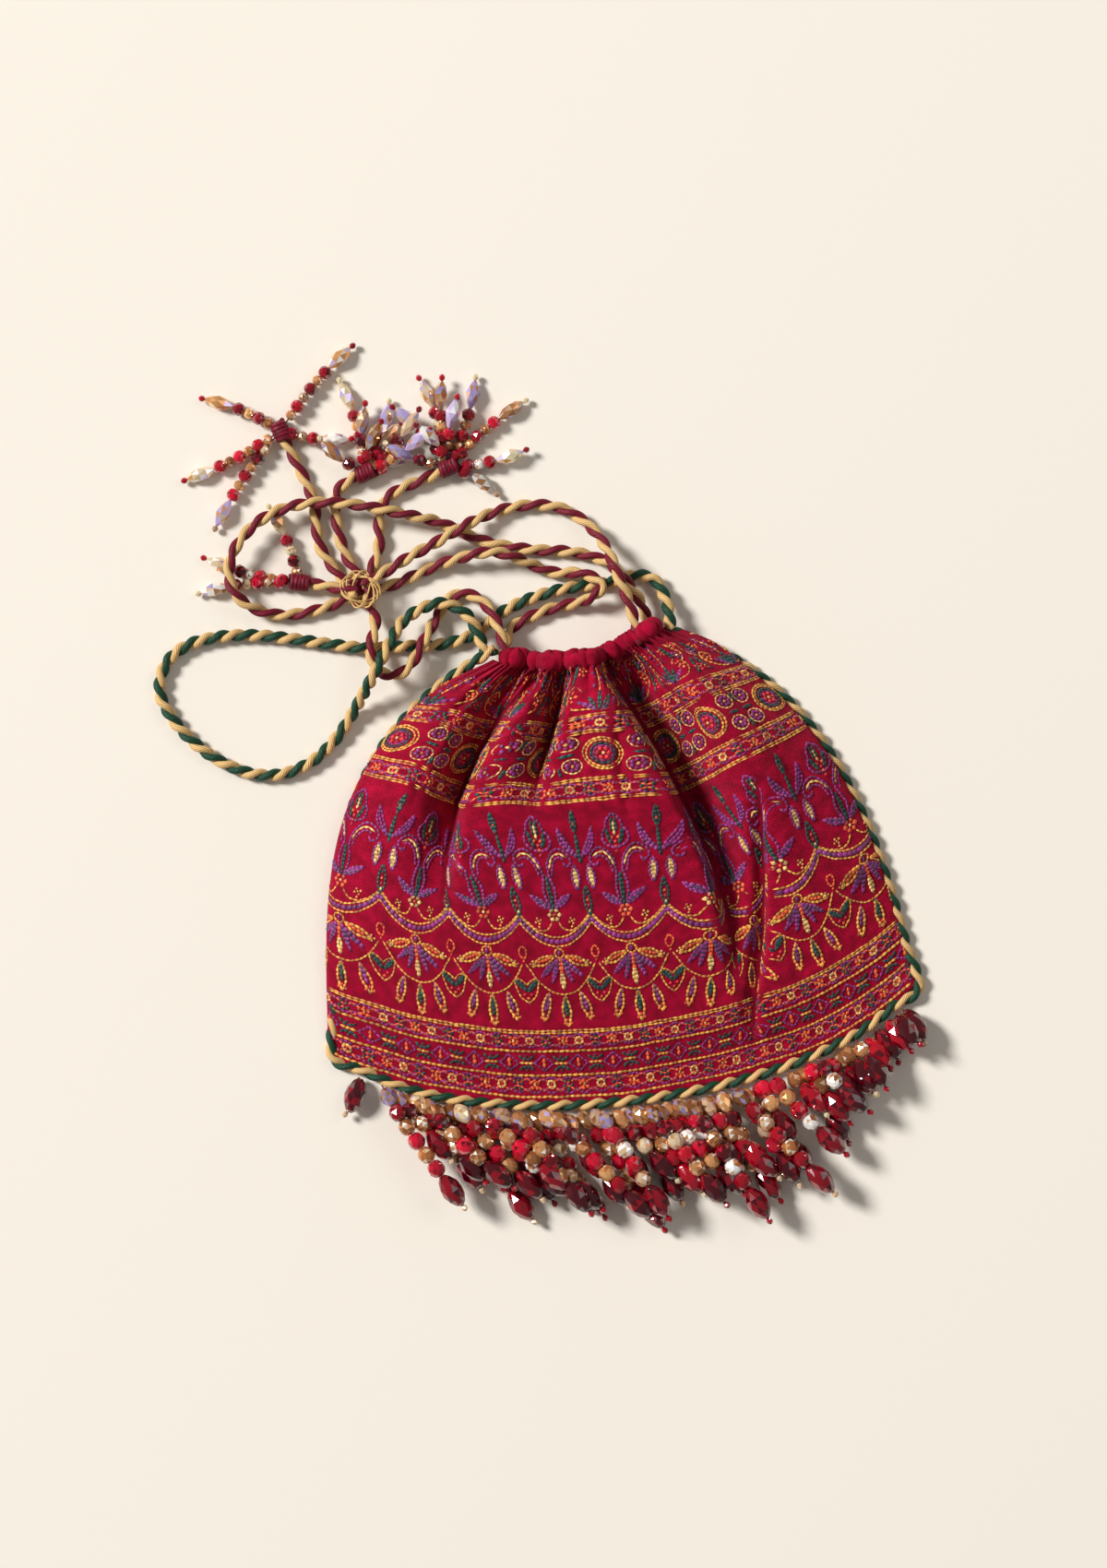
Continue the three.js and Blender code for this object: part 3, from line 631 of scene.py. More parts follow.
# Name, colour, how clear, roughness and how much of a metal
GLASS_LOOKS = {
    "red": ("ruby", (150, 2, 26), 0.1, 0.05, 0.0),
    # deep_ruby and bright_ruby are darker and lighter copies of ruby: whole beads of them are tints of their
    # own, and on single facets they are painted shade and painted highlights
    "dark": ("deep_ruby", (78, 0, 14), 0.1, 0.05, 0.0),
    "bright": ("bright_ruby", (182, 10, 42), 0.1, 0.05, 0.0),
    "pearl": ("champagne", (218, 152, 98), 0.0, 0.1, 0.5),
    # amber and pale are darker and lighter copies of champagne: whole beads of them are tints of their own,
    # and on single facets they are painted shade and painted highlights
    "amber": ("amber", (172, 108, 64), 0.0, 0.08, 0.5),
    "pale": ("pale", (236, 196, 160), 0.0, 0.08, 0.4),
    # A near-white glass: on single facets it is a painted glint, and some whole beads take it too
    "painted_glint": ("bright", (255, 248, 240), 0.0, 0.05, 0.2),
    "lilac": ("lilac", (190, 172, 224), 0.0, 0.06, 0.4),
}
GLASS = {key: glass_material(f"{word}_glass", *look) for key, (word, *look) in GLASS_LOOKS.items()}
bead_thread = thread_material("bead_thread", (120, 14, 30))


# Outline curves: the hem and the mouth run left to right, the sides from the hem up to the mouth
def level_curve(corner, middle_y, handle_x):
    """A curve from the mirrored corner to the corner, whose middle is at the given height."""
    handle_y = (4 * middle_y - corner[1]) / 3
    return Outline((-corner[0], corner[1]), (-handle_x, handle_y), (handle_x, handle_y), corner)


hem_curve = level_curve(HEM_CORNER, HEM_BOTTOM_Y, HEM_HANDLE_X)
mouth_curve = level_curve(MOUTH_CORNER, MOUTH_DIP_Y, MOUTH_HANDLE_X)
left_curve = Outline((-HEM_CORNER[0], HEM_CORNER[1]), LEFT_FLANK, LEFT_SHOULDER,
                     (-MOUTH_CORNER[0], MOUTH_CORNER[1]))
right_curve = Outline(HEM_CORNER, RIGHT_FLANK, RIGHT_SHOULDER, MOUTH_CORNER)


# The cloth's surface: u runs across the bag and t from the hem to the mouth
def sheet_point(u, t):
    hem_x, hem_y = hem_curve.at(u)
    mouth_x, mouth_y = mouth_curve.at(u)
    left_x, left_y = left_curve.at(t)
    right_x, right_y = right_curve.at(t)
    corners = lerp(lerp(-HEM_CORNER[0], HEM_CORNER[0], u), lerp(-MOUTH_CORNER[0], MOUTH_CORNER[0], u), t)
    level = lerp(HEM_CORNER[1], MOUTH_CORNER[1], t)
    return (lerp(hem_x, mouth_x, t) + lerp(left_x, right_x, u) - corners,
            lerp(hem_y, mouth_y, t) + lerp(left_y, right_y, u) - level)


def away_from_seam(u):
    return smoothstep(u, 0, CORNER_SHARE) * smoothstep(1 - u, 0, CORNER_SHARE)


def profile_at(t):
    places, heights = np.array(PUFF_PROFILE).T
    eased = np.zeros_like(t)
    for t0, t1, h0, h1 in zip(places, places[1:], heights, heights[1:]):
        eased += (h1 - h0) * smoothstep(t, t0, t1)
    return 0.5 * (eased + np.interp(t, places, heights))


def along_fold(line, x, y):
    """Nearest distance to a fold's line, negative on its left, with the depth there."""
    nearest = np.full(np.shape(x), 1e6)
    depth = np.zeros(np.shape(x))
    for (x0, y0, d0), (x1, y1, d1) in zip(line, line[1:]):
        run_x, run_y = x1 - x0, y1 - y0
        share = np.clip(((x - x0) * run_x + (y - y0) * run_y) / (run_x ** 2 + run_y ** 2), 0, 1)
        away_x, away_y = x - x0 - share * run_x, y - y0 - share * run_y
        away = np.hypot(away_x, away_y)
        signed = np.where(run_x * away_y - run_y * away_x > 0, away, -away)
        closer = away < np.abs(nearest)
        nearest = np.where(closer, signed, nearest)
        depth = np.where(closer, lerp(d0, d1, share), depth)
    return nearest, depth


def deepest(fold):
    return max(point[2] for point in fold["line"])


def fold_depth(x, y):
    """How far the folds press the front down: a bank is a steep wall or a gentle slope."""
    total = np.zeros(np.shape(x))
    for fold in FOLDS:
        away, depth = along_fold(fold["line"], x, y)
        for side, width in zip((-1, 1), fold["banks"]):
            power = STEEP_POWER if width < STEEP_BANK else GENTLE_POWER
            press = depth * np.exp(-(np.abs(away) / width) ** power)
            total += np.where(away * side > 0, press, 0)
    return total


def ridge_height(x, y):
    total = np.zeros(np.shape(x))
    for ridge in RIDGES:
        away, height = along_fold(ridge["line"], x, y)
        total += height * np.exp(-(away / ridge["width"]) ** 2)
    return total


def fold_lean(x, y):
    """How far the banks lean over the folds, along x."""
    total = np.zeros(np.shape(x))
    for fold in FOLDS:
        away, depth = along_fold(fold["line"], x, y)
        side = -1 if fold["lean"] > 0 else 1
        width = min(fold["banks"])
        bump = np.exp(-((away * side - LEAN_MIDDLE_SHARE * width) / (LEAN_WIDTH_SHARE * width)) ** 2)
        total += fold["lean"] * np.sqrt(depth / deepest(fold)) * bump
    return total


def gather_at(u, t, height):
    wave = np.cos(2 * np.pi * GATHER_COUNT * u)
    return height * wave * smoothstep(t, GATHER_START, 1) * away_from_seam(u)


def pleat_wave(u):
    """Uneven round pleats with a sharp groove between each two, from -1 to 1."""
    turn = PLEAT_COUNT * u + 0.5 * np.sin(9.0 * u) + 0.28 * np.sin(31.0 * u + 1.0) + 0.12 * np.sin(71.0 * u)
    swell = 0.82 + 0.18 * np.sin(17.0 * u + 0.6)
    return swell * (2 * np.abs(np.cos(np.pi * turn)) ** 0.7 - 1)


# Place, lowest reach, depth, width and drift of each wrinkle
WRINKLES = [(random.uniform(0.06, 0.94), random.uniform(0.35, 0.75), random.uniform(0.5, 1.3),
             random.uniform(0.006, 0.014), random.uniform(-0.05, 0.05)) for _ in range(WRINKLE_COUNT)]


def wrinkles_at(u, t):
    """Soft wrinkles that run down the cloth from the gathers."""
    total = np.zeros(np.shape(u))
    for place, low, depth, width, drift in WRINKLES:
        middle = place + drift * (1 - t)
        reach = smoothstep(t, low, low + 0.25) * (1 - smoothstep(t, 0.93, 1.0))
        total += depth * reach * np.exp(-((u - middle) / width) ** 2)
    return total * away_from_seam(u)


def back_height(u, t):
    rise = smoothstep(t, LIFT_START, 1)
    level = lerp(SEAM_LIFT, BACK_MOUTH_HEIGHT, away_from_seam(u))
    return rise * (level + gather_at(u, t, BACK_GATHER_HEIGHT))


def front_height(u, t, fine=True):
    """Height of the front's underside; the fine form has pleats, creases and wrinkles on top."""
    x, y = sheet_point(u, t)
    seam = CLOTH_THICKNESS + SEWN_GAP + SEAM_LIFT * smoothstep(t, LIFT_START, 1)
    across = np.maximum(0, 1 - np.abs(2 * u - 1) ** PUFF_ROUNDNESS) ** PUFF_FULLNESS
    puff = PUFF_HEIGHT * across * profile_at(t)
    mouth = away_from_seam(u) * (FRONT_MOUTH_LIFT + FRONT_MOUTH_ARCH * np.sin(np.pi * np.clip(u, 0, 1)))
    body = lerp(puff, mouth, smoothstep(t, MOUTH_BLEND_START, 1)) + gather_at(u, t, FRONT_GATHER_HEIGHT)
    body = body + ridge_height(x, y) * across
    pressed = fold_depth(x, y) * across
    if fine:
        pressed = pressed + wrinkles_at(u, t)
        body = body + PLEAT_HEIGHT * pleat_wave(u) * smoothstep(t, PLEAT_START, 1) * away_from_seam(u)
    return seam + np.maximum(0, body - pressed)


def mouth_raise(u):
    return MOUTH_RAISE * smoothstep(u, 0.5, 1)


def bulge_at(u):
    return np.exp(-((u - BULGE_PLACE) / BULGE_WIDTH) ** 2)


def pushed_out(u, t):
    """The sheet's place, with its seams pushed out against the cord and the mouth's right end raised."""
    x, y = sheet_point(u, t)
    left, right, low = (EDGE_PUSH * smoothstep(share, 1 - EDGE_SHARE, 1) for share in (1 - u, u, 1 - t))
    aside = right + RIGHT_BULGE * bulge_at(1 - u) - left - LEFT_BULGE * bulge_at(u)
    return (x + aside * (1 - smoothstep(t, PUSH_END, 1)),
            y - low + mouth_raise(u) * smoothstep(t, RAISE_START, 1))


def front_point(u, t, lift=CLOTH_THICKNESS):
    x, y = pushed_out(u, t)
    return np.stack([x + fold_lean(x, y), y, front_height(u, t) + lift], axis=-1)


def back_point(u, t, lift):
    x, y = pushed_out(u, t)
    return np.stack([x, y, back_height(u, t) + lift], axis=-1)


def look_up(table, row, column):
    """A value between the entries of a table; row and column are shares of its sides."""
    row = np.clip(row, 0, 1) * (table.shape[0] - 1)
    column = np.clip(column, 0, 1) * (table.shape[1] - 1)
    r0 = np.minimum(row.astype(int), table.shape[0] - 2)
    c0 = np.minimum(column.astype(int), table.shape[1] - 2)
    low = lerp(table[r0, c0], table[r0, c0 + 1], column - c0)
    high = lerp(table[r0 + 1, c0], table[r0 + 1, c0 + 1], column - c0)
    return lerp(low, high, row - r0)


class ClothMap:
    """Where a place on the flat embroidered cloth lies on the gathered front.

    The flat place is s, across from the middle repeat, and h, up from the hem. The cloth that the
    folds swallow is counted at the bottom of each fold, so that the pattern jumps there.
    """

    def __init__(self):
        self.t = np.linspace(0, 1, MAP_ROWS)
        self.u = np.linspace(0, 1, MAP_COLUMNS)
        u, t = np.meshgrid(self.u, self.t)
        x, y = sheet_point(u, t)
        points = np.stack([x, y, front_height(u, t, fine=False)], axis=-1)
        steps = np.linalg.norm(np.diff(points, axis=1), axis=2)
        hidden, sag = np.zeros(u.shape), np.zeros(u.shape)
        for fold in FOLDS:
            away, depth = along_fold(fold["line"], x, y)
            share = np.sqrt(np.clip(depth / deepest(fold), 0, 1))
            line = np.exp(-(away / FOLD_LINE_WIDTH) ** 2) / (FOLD_LINE_WIDTH * math.sqrt(math.pi))
            hidden += fold["hides"] * share * line
            reach = SAG_WIDTH_SHARE * max(fold["banks"])
            sag += fold["sag"] * share * np.exp(-(away / reach) ** 2) * (1 - smoothstep(t, SAG_END, 1))
        across = np.linalg.norm(np.diff(points[..., :2], axis=1), axis=2)
        steps = steps + 0.5 * (hidden[:, 1:] + hidden[:, :-1]) * across
        s = np.concatenate([np.zeros((len(self.t), 1)), np.cumsum(steps, axis=1)], axis=1)
        middle = np.array([np.interp(PATTERN_ZERO_U, self.u, row) for row in s])[:, None]
        half = CLOTH_WIDTH / 2
        self.s = (s - middle) / np.where(s < middle, middle, s[:, -1:] - middle) * half
        self.even_s = np.linspace(-half, half, FLAT_COLUMNS)
        self.u_table = np.array([np.interp(self.even_s, row, self.u) for row in self.s])

        rises = np.linalg.norm(np.diff(points[..., :2], axis=0), axis=2)
        rise = np.concatenate([np.zeros((1, len(self.u))), np.cumsum(rises, axis=0)])
        edge = 1 - np.maximum(0, 1 - np.abs(2 * u - 1) ** EDGE_ROUNDNESS)
        height = lerp(CENTRE_HEIGHT_OF_CLOTH, SEAM_HEIGHT_OF_CLOTH, edge)
        self.h = np.maximum.accumulate(rise / rise[-1:] * height - HIDDEN_EDGE + sag, axis=0)
        self.even_h = np.linspace(LOWEST_PLACE, SEAM_HEIGHT_OF_CLOTH, FLAT_ROWS)
        self.t_table = np.array([np.interp(self.even_h, column, self.t) for column in self.h.T])

    def to_sheet(self, s, h):
        """Shares u and t for flat places."""
        place_s = (s - self.even_s[0]) / (self.even_s[-1] - self.even_s[0])
        place_h = (h - self.even_h[0]) / (self.even_h[-1] - self.even_h[0])
        t = h / CENTRE_HEIGHT_OF_CLOTH
        for _ in range(MAP_ROUNDS):
            u = look_up(self.u_table, t, place_s)
            t = lerp(t, look_up(self.t_table, u, place_h), MAP_STEP)
        return u, t

    def to_flat(self, u, t):
        return look_up(self.s, t, u), look_up(self.h, t, u)


cloth_map = ClothMap()


# Embroidery, drawn on the flat cloth
class Embroidery:
    """Chain stitches by colour of thread, each from one flat place to the next.

    Motifs are drawn round the x that the pen is set to, and mirrored there while its side is -1.
    """

    def __init__(self):
        self.stitches = {colour: [] for colour in THREADS}
        self.x, self.side = 0, 1

    def placed(self, points):
        return np.array(points, float) * (self.side, 1) + (self.x, 0)

    def both_sides(self):
        """The left half of a motif and then the right one."""
        for self.side in (-1, 1):
            yield self.side

    def row(self, colour, points, width=STITCH_WIDTH, pitch=STITCH_PITCH):
        """A row of chain stitches along a line that has its place already."""
        along = run_along(points)
        count = max(1, round(along[-1] / pitch))
        places = points_at(np.linspace(0, along[-1], count + 1), along, points)
        places += random.normal(0, STITCH_JITTER, places.shape)
        for start, end in zip(places, places[1:]):
            extra = (end - start) * STITCH_OVERLAP
            self.stitches[colour].append((*(start - extra), *(end + extra), width))

    def chain(self, colour, points, **stitch):
        self.row(colour, self.placed(points), **stitch)

    def vine(self, colour, *points, **stitch):
        """A row of chain along a smooth line through a few places."""
        flat = route_curve([(x, y, 0) for x, y in self.placed(points)], step=1.0)
        self.row(colour, flat[:, :2], **stitch)

    def leaf(self, colour, base, tip, width, rows=0, bend=0.0):
        """A filled leaf or petal: rows of chain that swell between its two ends."""
        base, tip = self.placed((base, tip))
        rows = rows or max(1, round(width / LEAF_ROW_ROOM))
        run = tip - base
        normal = np.array([-run[1], run[0]]) / np.hypot(*run)
        share = np.linspace(0, 1, 9)[:, None]
        for row in range(rows):
            spread = 0 if rows == 1 else lerp(-1, 1, row / (rows - 1)) * (width - STITCH_WIDTH) / 2
            self.row(colour, base + run * share + normal * (spread + bend) * np.sin(math.pi * share))

    def outline(self, colour, base, tip, width):
        """The two edges of a leaf."""
        self.leaf(colour, base, tip, width + STITCH_WIDTH, rows=2)

    def ring(self, colour, centre, radius, tall=None, **stitch):
        angles = np.linspace(0, 2 * math.pi, 33)
        round_line = np.stack([radius * np.cos(angles), (tall or radius) * np.sin(angles)], axis=1)
        self.row(colour, self.placed(centre) + round_line, **stitch)

    def knot(self, colour, centre, size):
        self.knot_at(colour, self.placed(centre), size)

    def knot_at(self, colour, place, size):
        angle = random.uniform(0, math.pi)
        reach = size / 2 * np.array([math.cos(angle), math.sin(angle)])
        self.stitches[colour].append((*(place - reach), *(place + reach), size))

    def flower(self, colour, heart, centre, radius, petals=5, turn=0.0):
        place = self.placed(centre)
        for number in range(petals):
            angle = turn + 2 * math.pi * number / petals
            way = radius * np.array([math.cos(angle), math.sin(angle)])
            start, end = place + way * FLOWER_HEART, place + way
            self.stitches[colour].append((*start, *end, radius * PETAL_WIDTH))
        self.knot_at(heart, place, radius * HEART_SIZE)


FLOWER_HEART = 0.3
PETAL_WIDTH = 0.72
HEART_SIZE = 0.55
HALF = REPEAT / 2
BAND_REACH = REPEAT * (REPEATS - 0.6)
FLOWER_PITCH = REPEAT / 4.5
DIAMOND_PITCH = REPEAT / 2.14

work = Embroidery()
both_sides, chain, vine, leaf, outline = work.both_sides, work.chain, work.vine, work.leaf, work.outline
ring, knot, flower = work.ring, work.knot, work.flower


def scallop(bottom, cusp, power=2.0, half=HALF):
    x = np.linspace(-half, half, 31)
    return np.stack([x, bottom + (cusp - bottom) * (np.abs(x) / half) ** power], axis=1)


# Bands that run right round
def gold_line(height, double=False):
    x = np.linspace(-BAND_REACH, BAND_REACH, 120)
    wave = 0.25 * np.sin(x / 17) + 0.15 * np.sin(x / 6.3)
    offsets, width = ((-0.42, 0.42), 0.85) if double else ((0,), 1.15)
    for offset in offsets:
        chain("gold", np.stack([x, height + wave + offset], axis=1), width=width, pitch=2.0)


def flower_row(height, start):
    """Small flowers in turn of three colours, inside a purple and orange lattice."""
    reach = int(BAND_REACH / FLOWER_PITCH)
    for number in range(-reach, reach + 1):
        x = number * FLOWER_PITCH
        kind = (number + start) % 3
        if kind == 0:
            ring("cream", (x, height), 1.35, width=1.15, pitch=1.3)
            knot("red", (x, height), 1.0)
        elif kind == 1:
            flower("green", "purple", (x, height), 2.3, 5, 0.3 * number)
        else:
            flower("orange", "cream", (x, height), 2.2, 5, 0.5 * number)
    x = np.linspace(-reach, reach, 12 * reach) * FLOWER_PITCH
    for colour, narrow, wide in (("purple", 1.0, 2.6), ("orange", 2.3, 0.5)):
        swell = lerp(narrow, wide, np.abs(np.cos(math.pi * x / FLOWER_PITCH)))
        for side in (-1, 1):
            chain(colour, np.stack([x, height + side * swell], axis=1), width=0.9, pitch=1.5)


def diamond_row(height):
    """Purple diamonds with a bright heart, and green brackets between them."""
    reach = int(BAND_REACH / DIAMOND_PITCH)
    for number in range(-reach, reach + 1):
        x = number * DIAMOND_PITCH
        corners = ((-3.4, 0), (0, 3.0), (3.4, 0), (0, -3.0), (-3.4, 0))
        chain("purple", [(x + dx, height + dy) for dx, dy in corners], width=0.9, pitch=1.5)
        leaf("orange", (x, height - 1.6), (x, height + 1.6), 1.6, rows=2)
        knot("cream", (x, height), 0.9)
        middle = x + DIAMOND_PITCH / 2
        for side in (-1, 1):
            vine("green", *((middle + dx, height + side * dy)
                            for dx, dy in ((-2.6, 2.6), (-1.6, 1.5), (1.6, 1.5), (2.6, 2.6))))
            knot("green", (middle, height + side * 2.5), 1.2)
        leaf("gold", (middle - 2.3, height), (middle + 2.3, height), 0.9, rows=1)
        knot("orange", (middle, height + 0.2), 0.9)


# Motifs of one repeat: those named after a cusp stand between two repeats
def drops():
    for top, foot, colour in (((-6.0, 40.5), (-8.8, 30.0), "purple"), ((0, 39.2), (0, 27.6), "green"),
                              ((6.0, 40.5), (8.8, 30.0), "purple")):
        top, foot = np.array(top), np.array(foot)
        leaf(colour, top, lerp(top, foot, 0.62), 1.9, rows=2)
        outline("gold", top, lerp(top, foot, 0.97), 3.0)
        for dx, dy in ((-1.2, 0), (1.2, 0), (0, 1.2), (0, -0.9)):
            knot("orange" if dy <= 0 else "red", lerp(top, foot, 0.86) + (dx, dy), 1.4)


def fan():
    chain("gold", scallop(40.0, 51.0, 2.2, HALF - 0.9), width=0.85)
    ring("gold", (0, 55.4), 1.8, width=0.9, pitch=1.3)
    leaf("purple", (0, 54.4), (0, 56.4), 1.6, rows=2)
    base = np.array((0.7, 53.2))
    for _ in both_sides():
        for tip, width in (((7.6, 46.8), 2.8), ((3.7, 44.6), 2.3)):
            leaf("purple", base, tip, width)
            leaf("green", (1.4, 52.0), lerp(base, tip, 0.72), 0.9, rows=1)
        leaf("gold", (2.2, 54.3), (10.6, 50.8), 4.2, rows=2)
        leaf("orange", (3.2, 54.0), (8.4, 51.9), 1.6, rows=2)
        flower("cream", "orange", (10.3, 51.4), 1.5, 4)
    leaf("orange", (0, 53.6), (0, 47.5), 1.8, rows=2)
    leaf("cream", (0, 48.2), (0, 42.0), 2.6, rows=3)


def fan_cusp():
    ring("orange", (0, 55.6), 1.35, 2.3, width=0.95, pitch=1.4)
    knot("orange", (0, 52.4), 1.1)
    for _ in both_sides():
        leaf("green", (0.3, 41.3), (4.0, 45.4), 2.4, rows=3)
        vine("gold", (0, 36.9), (2.6, 39.0), (4.4, 45.8), (1.6, 45.2), (0, 43.4), width=0.8)
    for dx, y in ((0, 38.6), (-1.3, 40.0), (1.3, 40.0)):
        knot("red" if dx else "orange", (dx, y), 1.4)


def garland():
    """Two gold scallops with a purple bar between them, and gold buds above."""
    chain("gold", scallop(57.9, 66.6), width=0.9)
    chain("gold", scallop(61.3, 69.4), width=0.9)
    chain("purple", scallop(59.6, 68.0), width=2.2, pitch=1.9)
    for _ in both_sides():
        flower("gold", "cream", (6.4, 67.3), 1.6, 4, 0.4)
        knot("gold", (6.2, 65.2), 1.2)
        vine("gold", (1.4, 66.6), (3.4, 64.0), (6.2, 63.9), (9.6, 65.9), (13.0, 69.4), width=0.85)


def blossom(warm):
    petals, heart = ("orange", "cream") if warm else ("cream", "orange")
    flower(petals, heart, (0, 69.6), 2.9, 6)
    for _ in both_sides():
        leaf("purple", (0.8, 71.8), (7.4, 76.8), 3.4, rows=4, bend=0.3)
        leaf("green", (1.6, 72.6), (5.2, 75.2), 1.0, rows=1)
        vine("purple", (0.9, 72.6), (2.1, 77.5), (1.0, 84.6))
        vine("purple", (0.9, 84.4), (2.0, 89.6), (5.6, 93.7), (9.2, 92.0), (10.1, 88.6), (8.3, 86.9),
             (7.2, 88.5), width=1.1)
        vine("purple", (2.3, 83.8), (3.5, 88.4), (6.1, 90.8), (8.0, 89.8), width=0.95)
        vine("cream", (1.7, 86.3), (3.2, 90.2), (6.0, 92.2), (8.4, 90.8), width=1.0, pitch=2.1)
        leaf("purple", (11.0, 87.6), (10.5, 78.6), 4.0, rows=2)
        leaf("cream", (10.9, 86.8), (10.6, 79.6), 2.4, rows=3)
    leaf("green", (0, 71.8), (0, 83.4), 1.9, rows=2)


def tulip():
    for side in both_sides():
        vine("purple", (0.3, 92.8), (3.6, 94.4), (4.4, 98.0), (2.8, 100.4), (2.5, 103.0), (0, 105.6),
             width=1.15)
        leaf("green", (1.2, 94.4), (2.6, 99.6), 2.0, rows=2, bend=-0.3 * side)
        leaf("green", (0.8, 99.0), (0.6, 103.8), 1.2, rows=1)
        knot("orange", (1.1, 96.6), 1.5)
    leaf("cream", (0, 97.6), (0, 102.2), 0.9, rows=1)
    for height, colour in ((91.4, "red"), (93.2, "orange"), (95.0, "red")):
        knot(colour, (0, height), 1.5)


def column_cusp():
    outline("green", (0, 68.8), (0, 79.6), 2.6)
    for height, colour in ((70.6, "cream"), (72.6, "red"), (74.6, "orange"), (77.0, "green")):
        knot(colour, (0, height), 1.5)
    for side in both_sides():
        leaf("purple", (0.6, 90.4), (5.8, 101.0), 3.2, rows=3, bend=-1.2 * side)
    leaf("green", (0, 88.4), (0, 98.6), 1.7, rows=2)
    leaf("green", (0, 99.4), (0, 107.4), 2.8, rows=3)
    knot("red", (0, 100.0), 1.4)
    knot("orange", (0, 102.8), 1.5)


def rosette():
    centre = (0, 128.6)
    for radius in (6.2, 5.3):
        ring("gold", centre, radius, width=0.95)
    ring("green", centre, 4.1, width=1.2, pitch=2.0)
    ring("purple", centre, 3.2, width=0.8, pitch=2.2)
    flower("red", "cream", centre, 2.9, 6)
    for _ in both_sides():
        for height in (133.6, 124.2):
            flower("purple", "cream", (9.9, height), 2.5, 7)
            ring("cream", (9.9, height), 2.95, width=0.75)
        leaf("green", (9.0, 128.9), (12.2, 128.9), 1.8, rows=2)
    leaf("green", (HALF, 132.8), (HALF, 136.2), 1.5, rows=2)
    leaf("green", (HALF, 124.0), (HALF, 121.0), 1.5, rows=2)


def top_flowers():
    for dx, tip in ((0, 152.2), (-2.6, 150.4), (2.6, 150.4)):
        leaf("green", (0.4 * dx, 146.2), (dx, tip), 2.0, rows=2)
    for _ in both_sides():
        leaf("purple", (0.8, 146.0), (5.4, 149.8), 2.0, rows=2)
        vine("gold", (0.6, 146.0), (6.8, 147.6), (9.4, 151.6), (6.6, 154.6), (4.6, 152.6), width=0.8)
        flower("orange", "cream", (7.0, 151.6), 2.0)
        flower("red", "gold", (12.0, 148.6), 1.9)
        leaf("green", (10.4, 146.6), (12.4, 152.8), 1.6, rows=2)
        flower("purple", "cream", (9.8, 155.6), 2.1, 6)
        leaf("green", (7.6, 155.0), (7.2, 160.6), 2.0, rows=2)
        flower("orange", "gold", (5.0, 158.2), 1.9)
        vine("gold", (9.4, 153.0), (12.4, 156.4), (11.0, 161.4), width=0.8)
        flower("red", "cream", (12.6, 160.4), 1.8)
    vine("gold", (0, 152.0), (0.5, 156.0), (0, 161.0), width=0.75)
    for side, height in ((-1, 153.8), (1, 155.6), (-1, 157.4), (1, 159.2)):
        knot("purple", (1.5 * side, height), 1.6)
        knot("purple", (-0.9 * side, height + 0.5), 1.2)
    flower("purple", "cream", (0, 161.4), 1.3, 4)


for height in (3.0, 9.8, 18.9):
    gold_line(height)
for height in (26.2, 111.5, 119.0, 137.6, 144.0):
    gold_line(height, double=True)
for height, start in ((6.3, 0), (22.6, 1), (115.3, 2), (140.8, 0)):
    flower_row(height, start)
diamond_row(14.3)
for number in range(-REPEATS, REPEATS + 1):
    work.x = number * REPEAT
    drops()
    fan()
    garland()
    blossom(number % 2 == 0)
    tulip()
    rosette()
    top_flowers()
    work.x += HALF
    fan_cusp()
    column_cusp()


# Points across the middle of a stitch, as shares of its width and height
STITCH_MIDDLE = ((-0.5, 0.04), (-0.27, 1.0), (0.0, 0.5), (0.27, 1.0), (0.5, 0.04))
STITCH_FACES = ((0, 2, 1), (0, 3, 2), (0, 4, 3), (0, 5, 4), (6, 1, 2), (6, 2, 3), (6, 3, 4), (6, 4, 5),
                (0, 1, 6), (0, 6, 5))


def stitch_piece(name, rows, material, place, side):
    """One closed leaf with a groove for each stitch, laid on a surface."""
    rows = np.array(rows)
    half = CLOTH_WIDTH / 2
    rows = rows[(np.abs(rows[:, 0]) < half) & (np.abs(rows[:, 2]) < half) & (rows[:, 1] > 0)]
    ends = [place(rows[:, 0], rows[:, 1]), place(rows[:, 2], rows[:, 3])]
    middle_s, middle_h = (rows[:, 0] + rows[:, 2]) / 2, (rows[:, 1] + rows[:, 3]) / 2
    across = place(middle_s + SLOPE_REACH, middle_h) - place(middle_s - SLOPE_REACH, middle_h)
    along = place(middle_s, middle_h + SLOPE_REACH) - place(middle_s, middle_h - SLOPE_REACH)
    up = unit(np.cross(across, along)) * side
    run = ends[1] - ends[0]
    flat_length = np.hypot(rows[:, 2] - rows[:, 0], rows[:, 3] - rows[:, 1])
    length = np.linalg.norm(run, axis=1)
    squeezed = np.linalg.norm(across, axis=1) / (2 * SLOPE_REACH)
    keep = ((length > SHORTEST_STITCH * flat_length) & (length < LONGEST_STITCH * flat_length)
            & (squeezed > LEAST_SQUEEZE))
    start, run, up = ends[0][keep], run[keep], up[keep]
    width = rows[keep, 4] * np.minimum(1, squeezed[keep])
    beside = unit(np.cross(up, run))
    height = STITCH_HEIGHT * np.minimum(1.0, width / STITCH_WIDTH)
    low = up * STITCH_SINK
    ring = [start + run * 0.5 + beside * (width * a)[:, None] + up * (height * b)[:, None]
            for a, b in STITCH_MIDDLE]
    points = np.stack([start + low, *ring, start + run + low], axis=1)
    faces = np.array(STITCH_FACES)[None] + 7 * np.arange(len(points))[:, None, None]
    return make_piece(name, points.reshape(-1, 3), faces.reshape(-1, 3).tolist(), [material])


def on_front(s, h):
    u, t = cloth_map.to_sheet(s, h)
    return front_point(np.clip(u, STITCH_EDGE_ROOM, 1 - STITCH_EDGE_ROOM), np.clip(t, 0, 1))


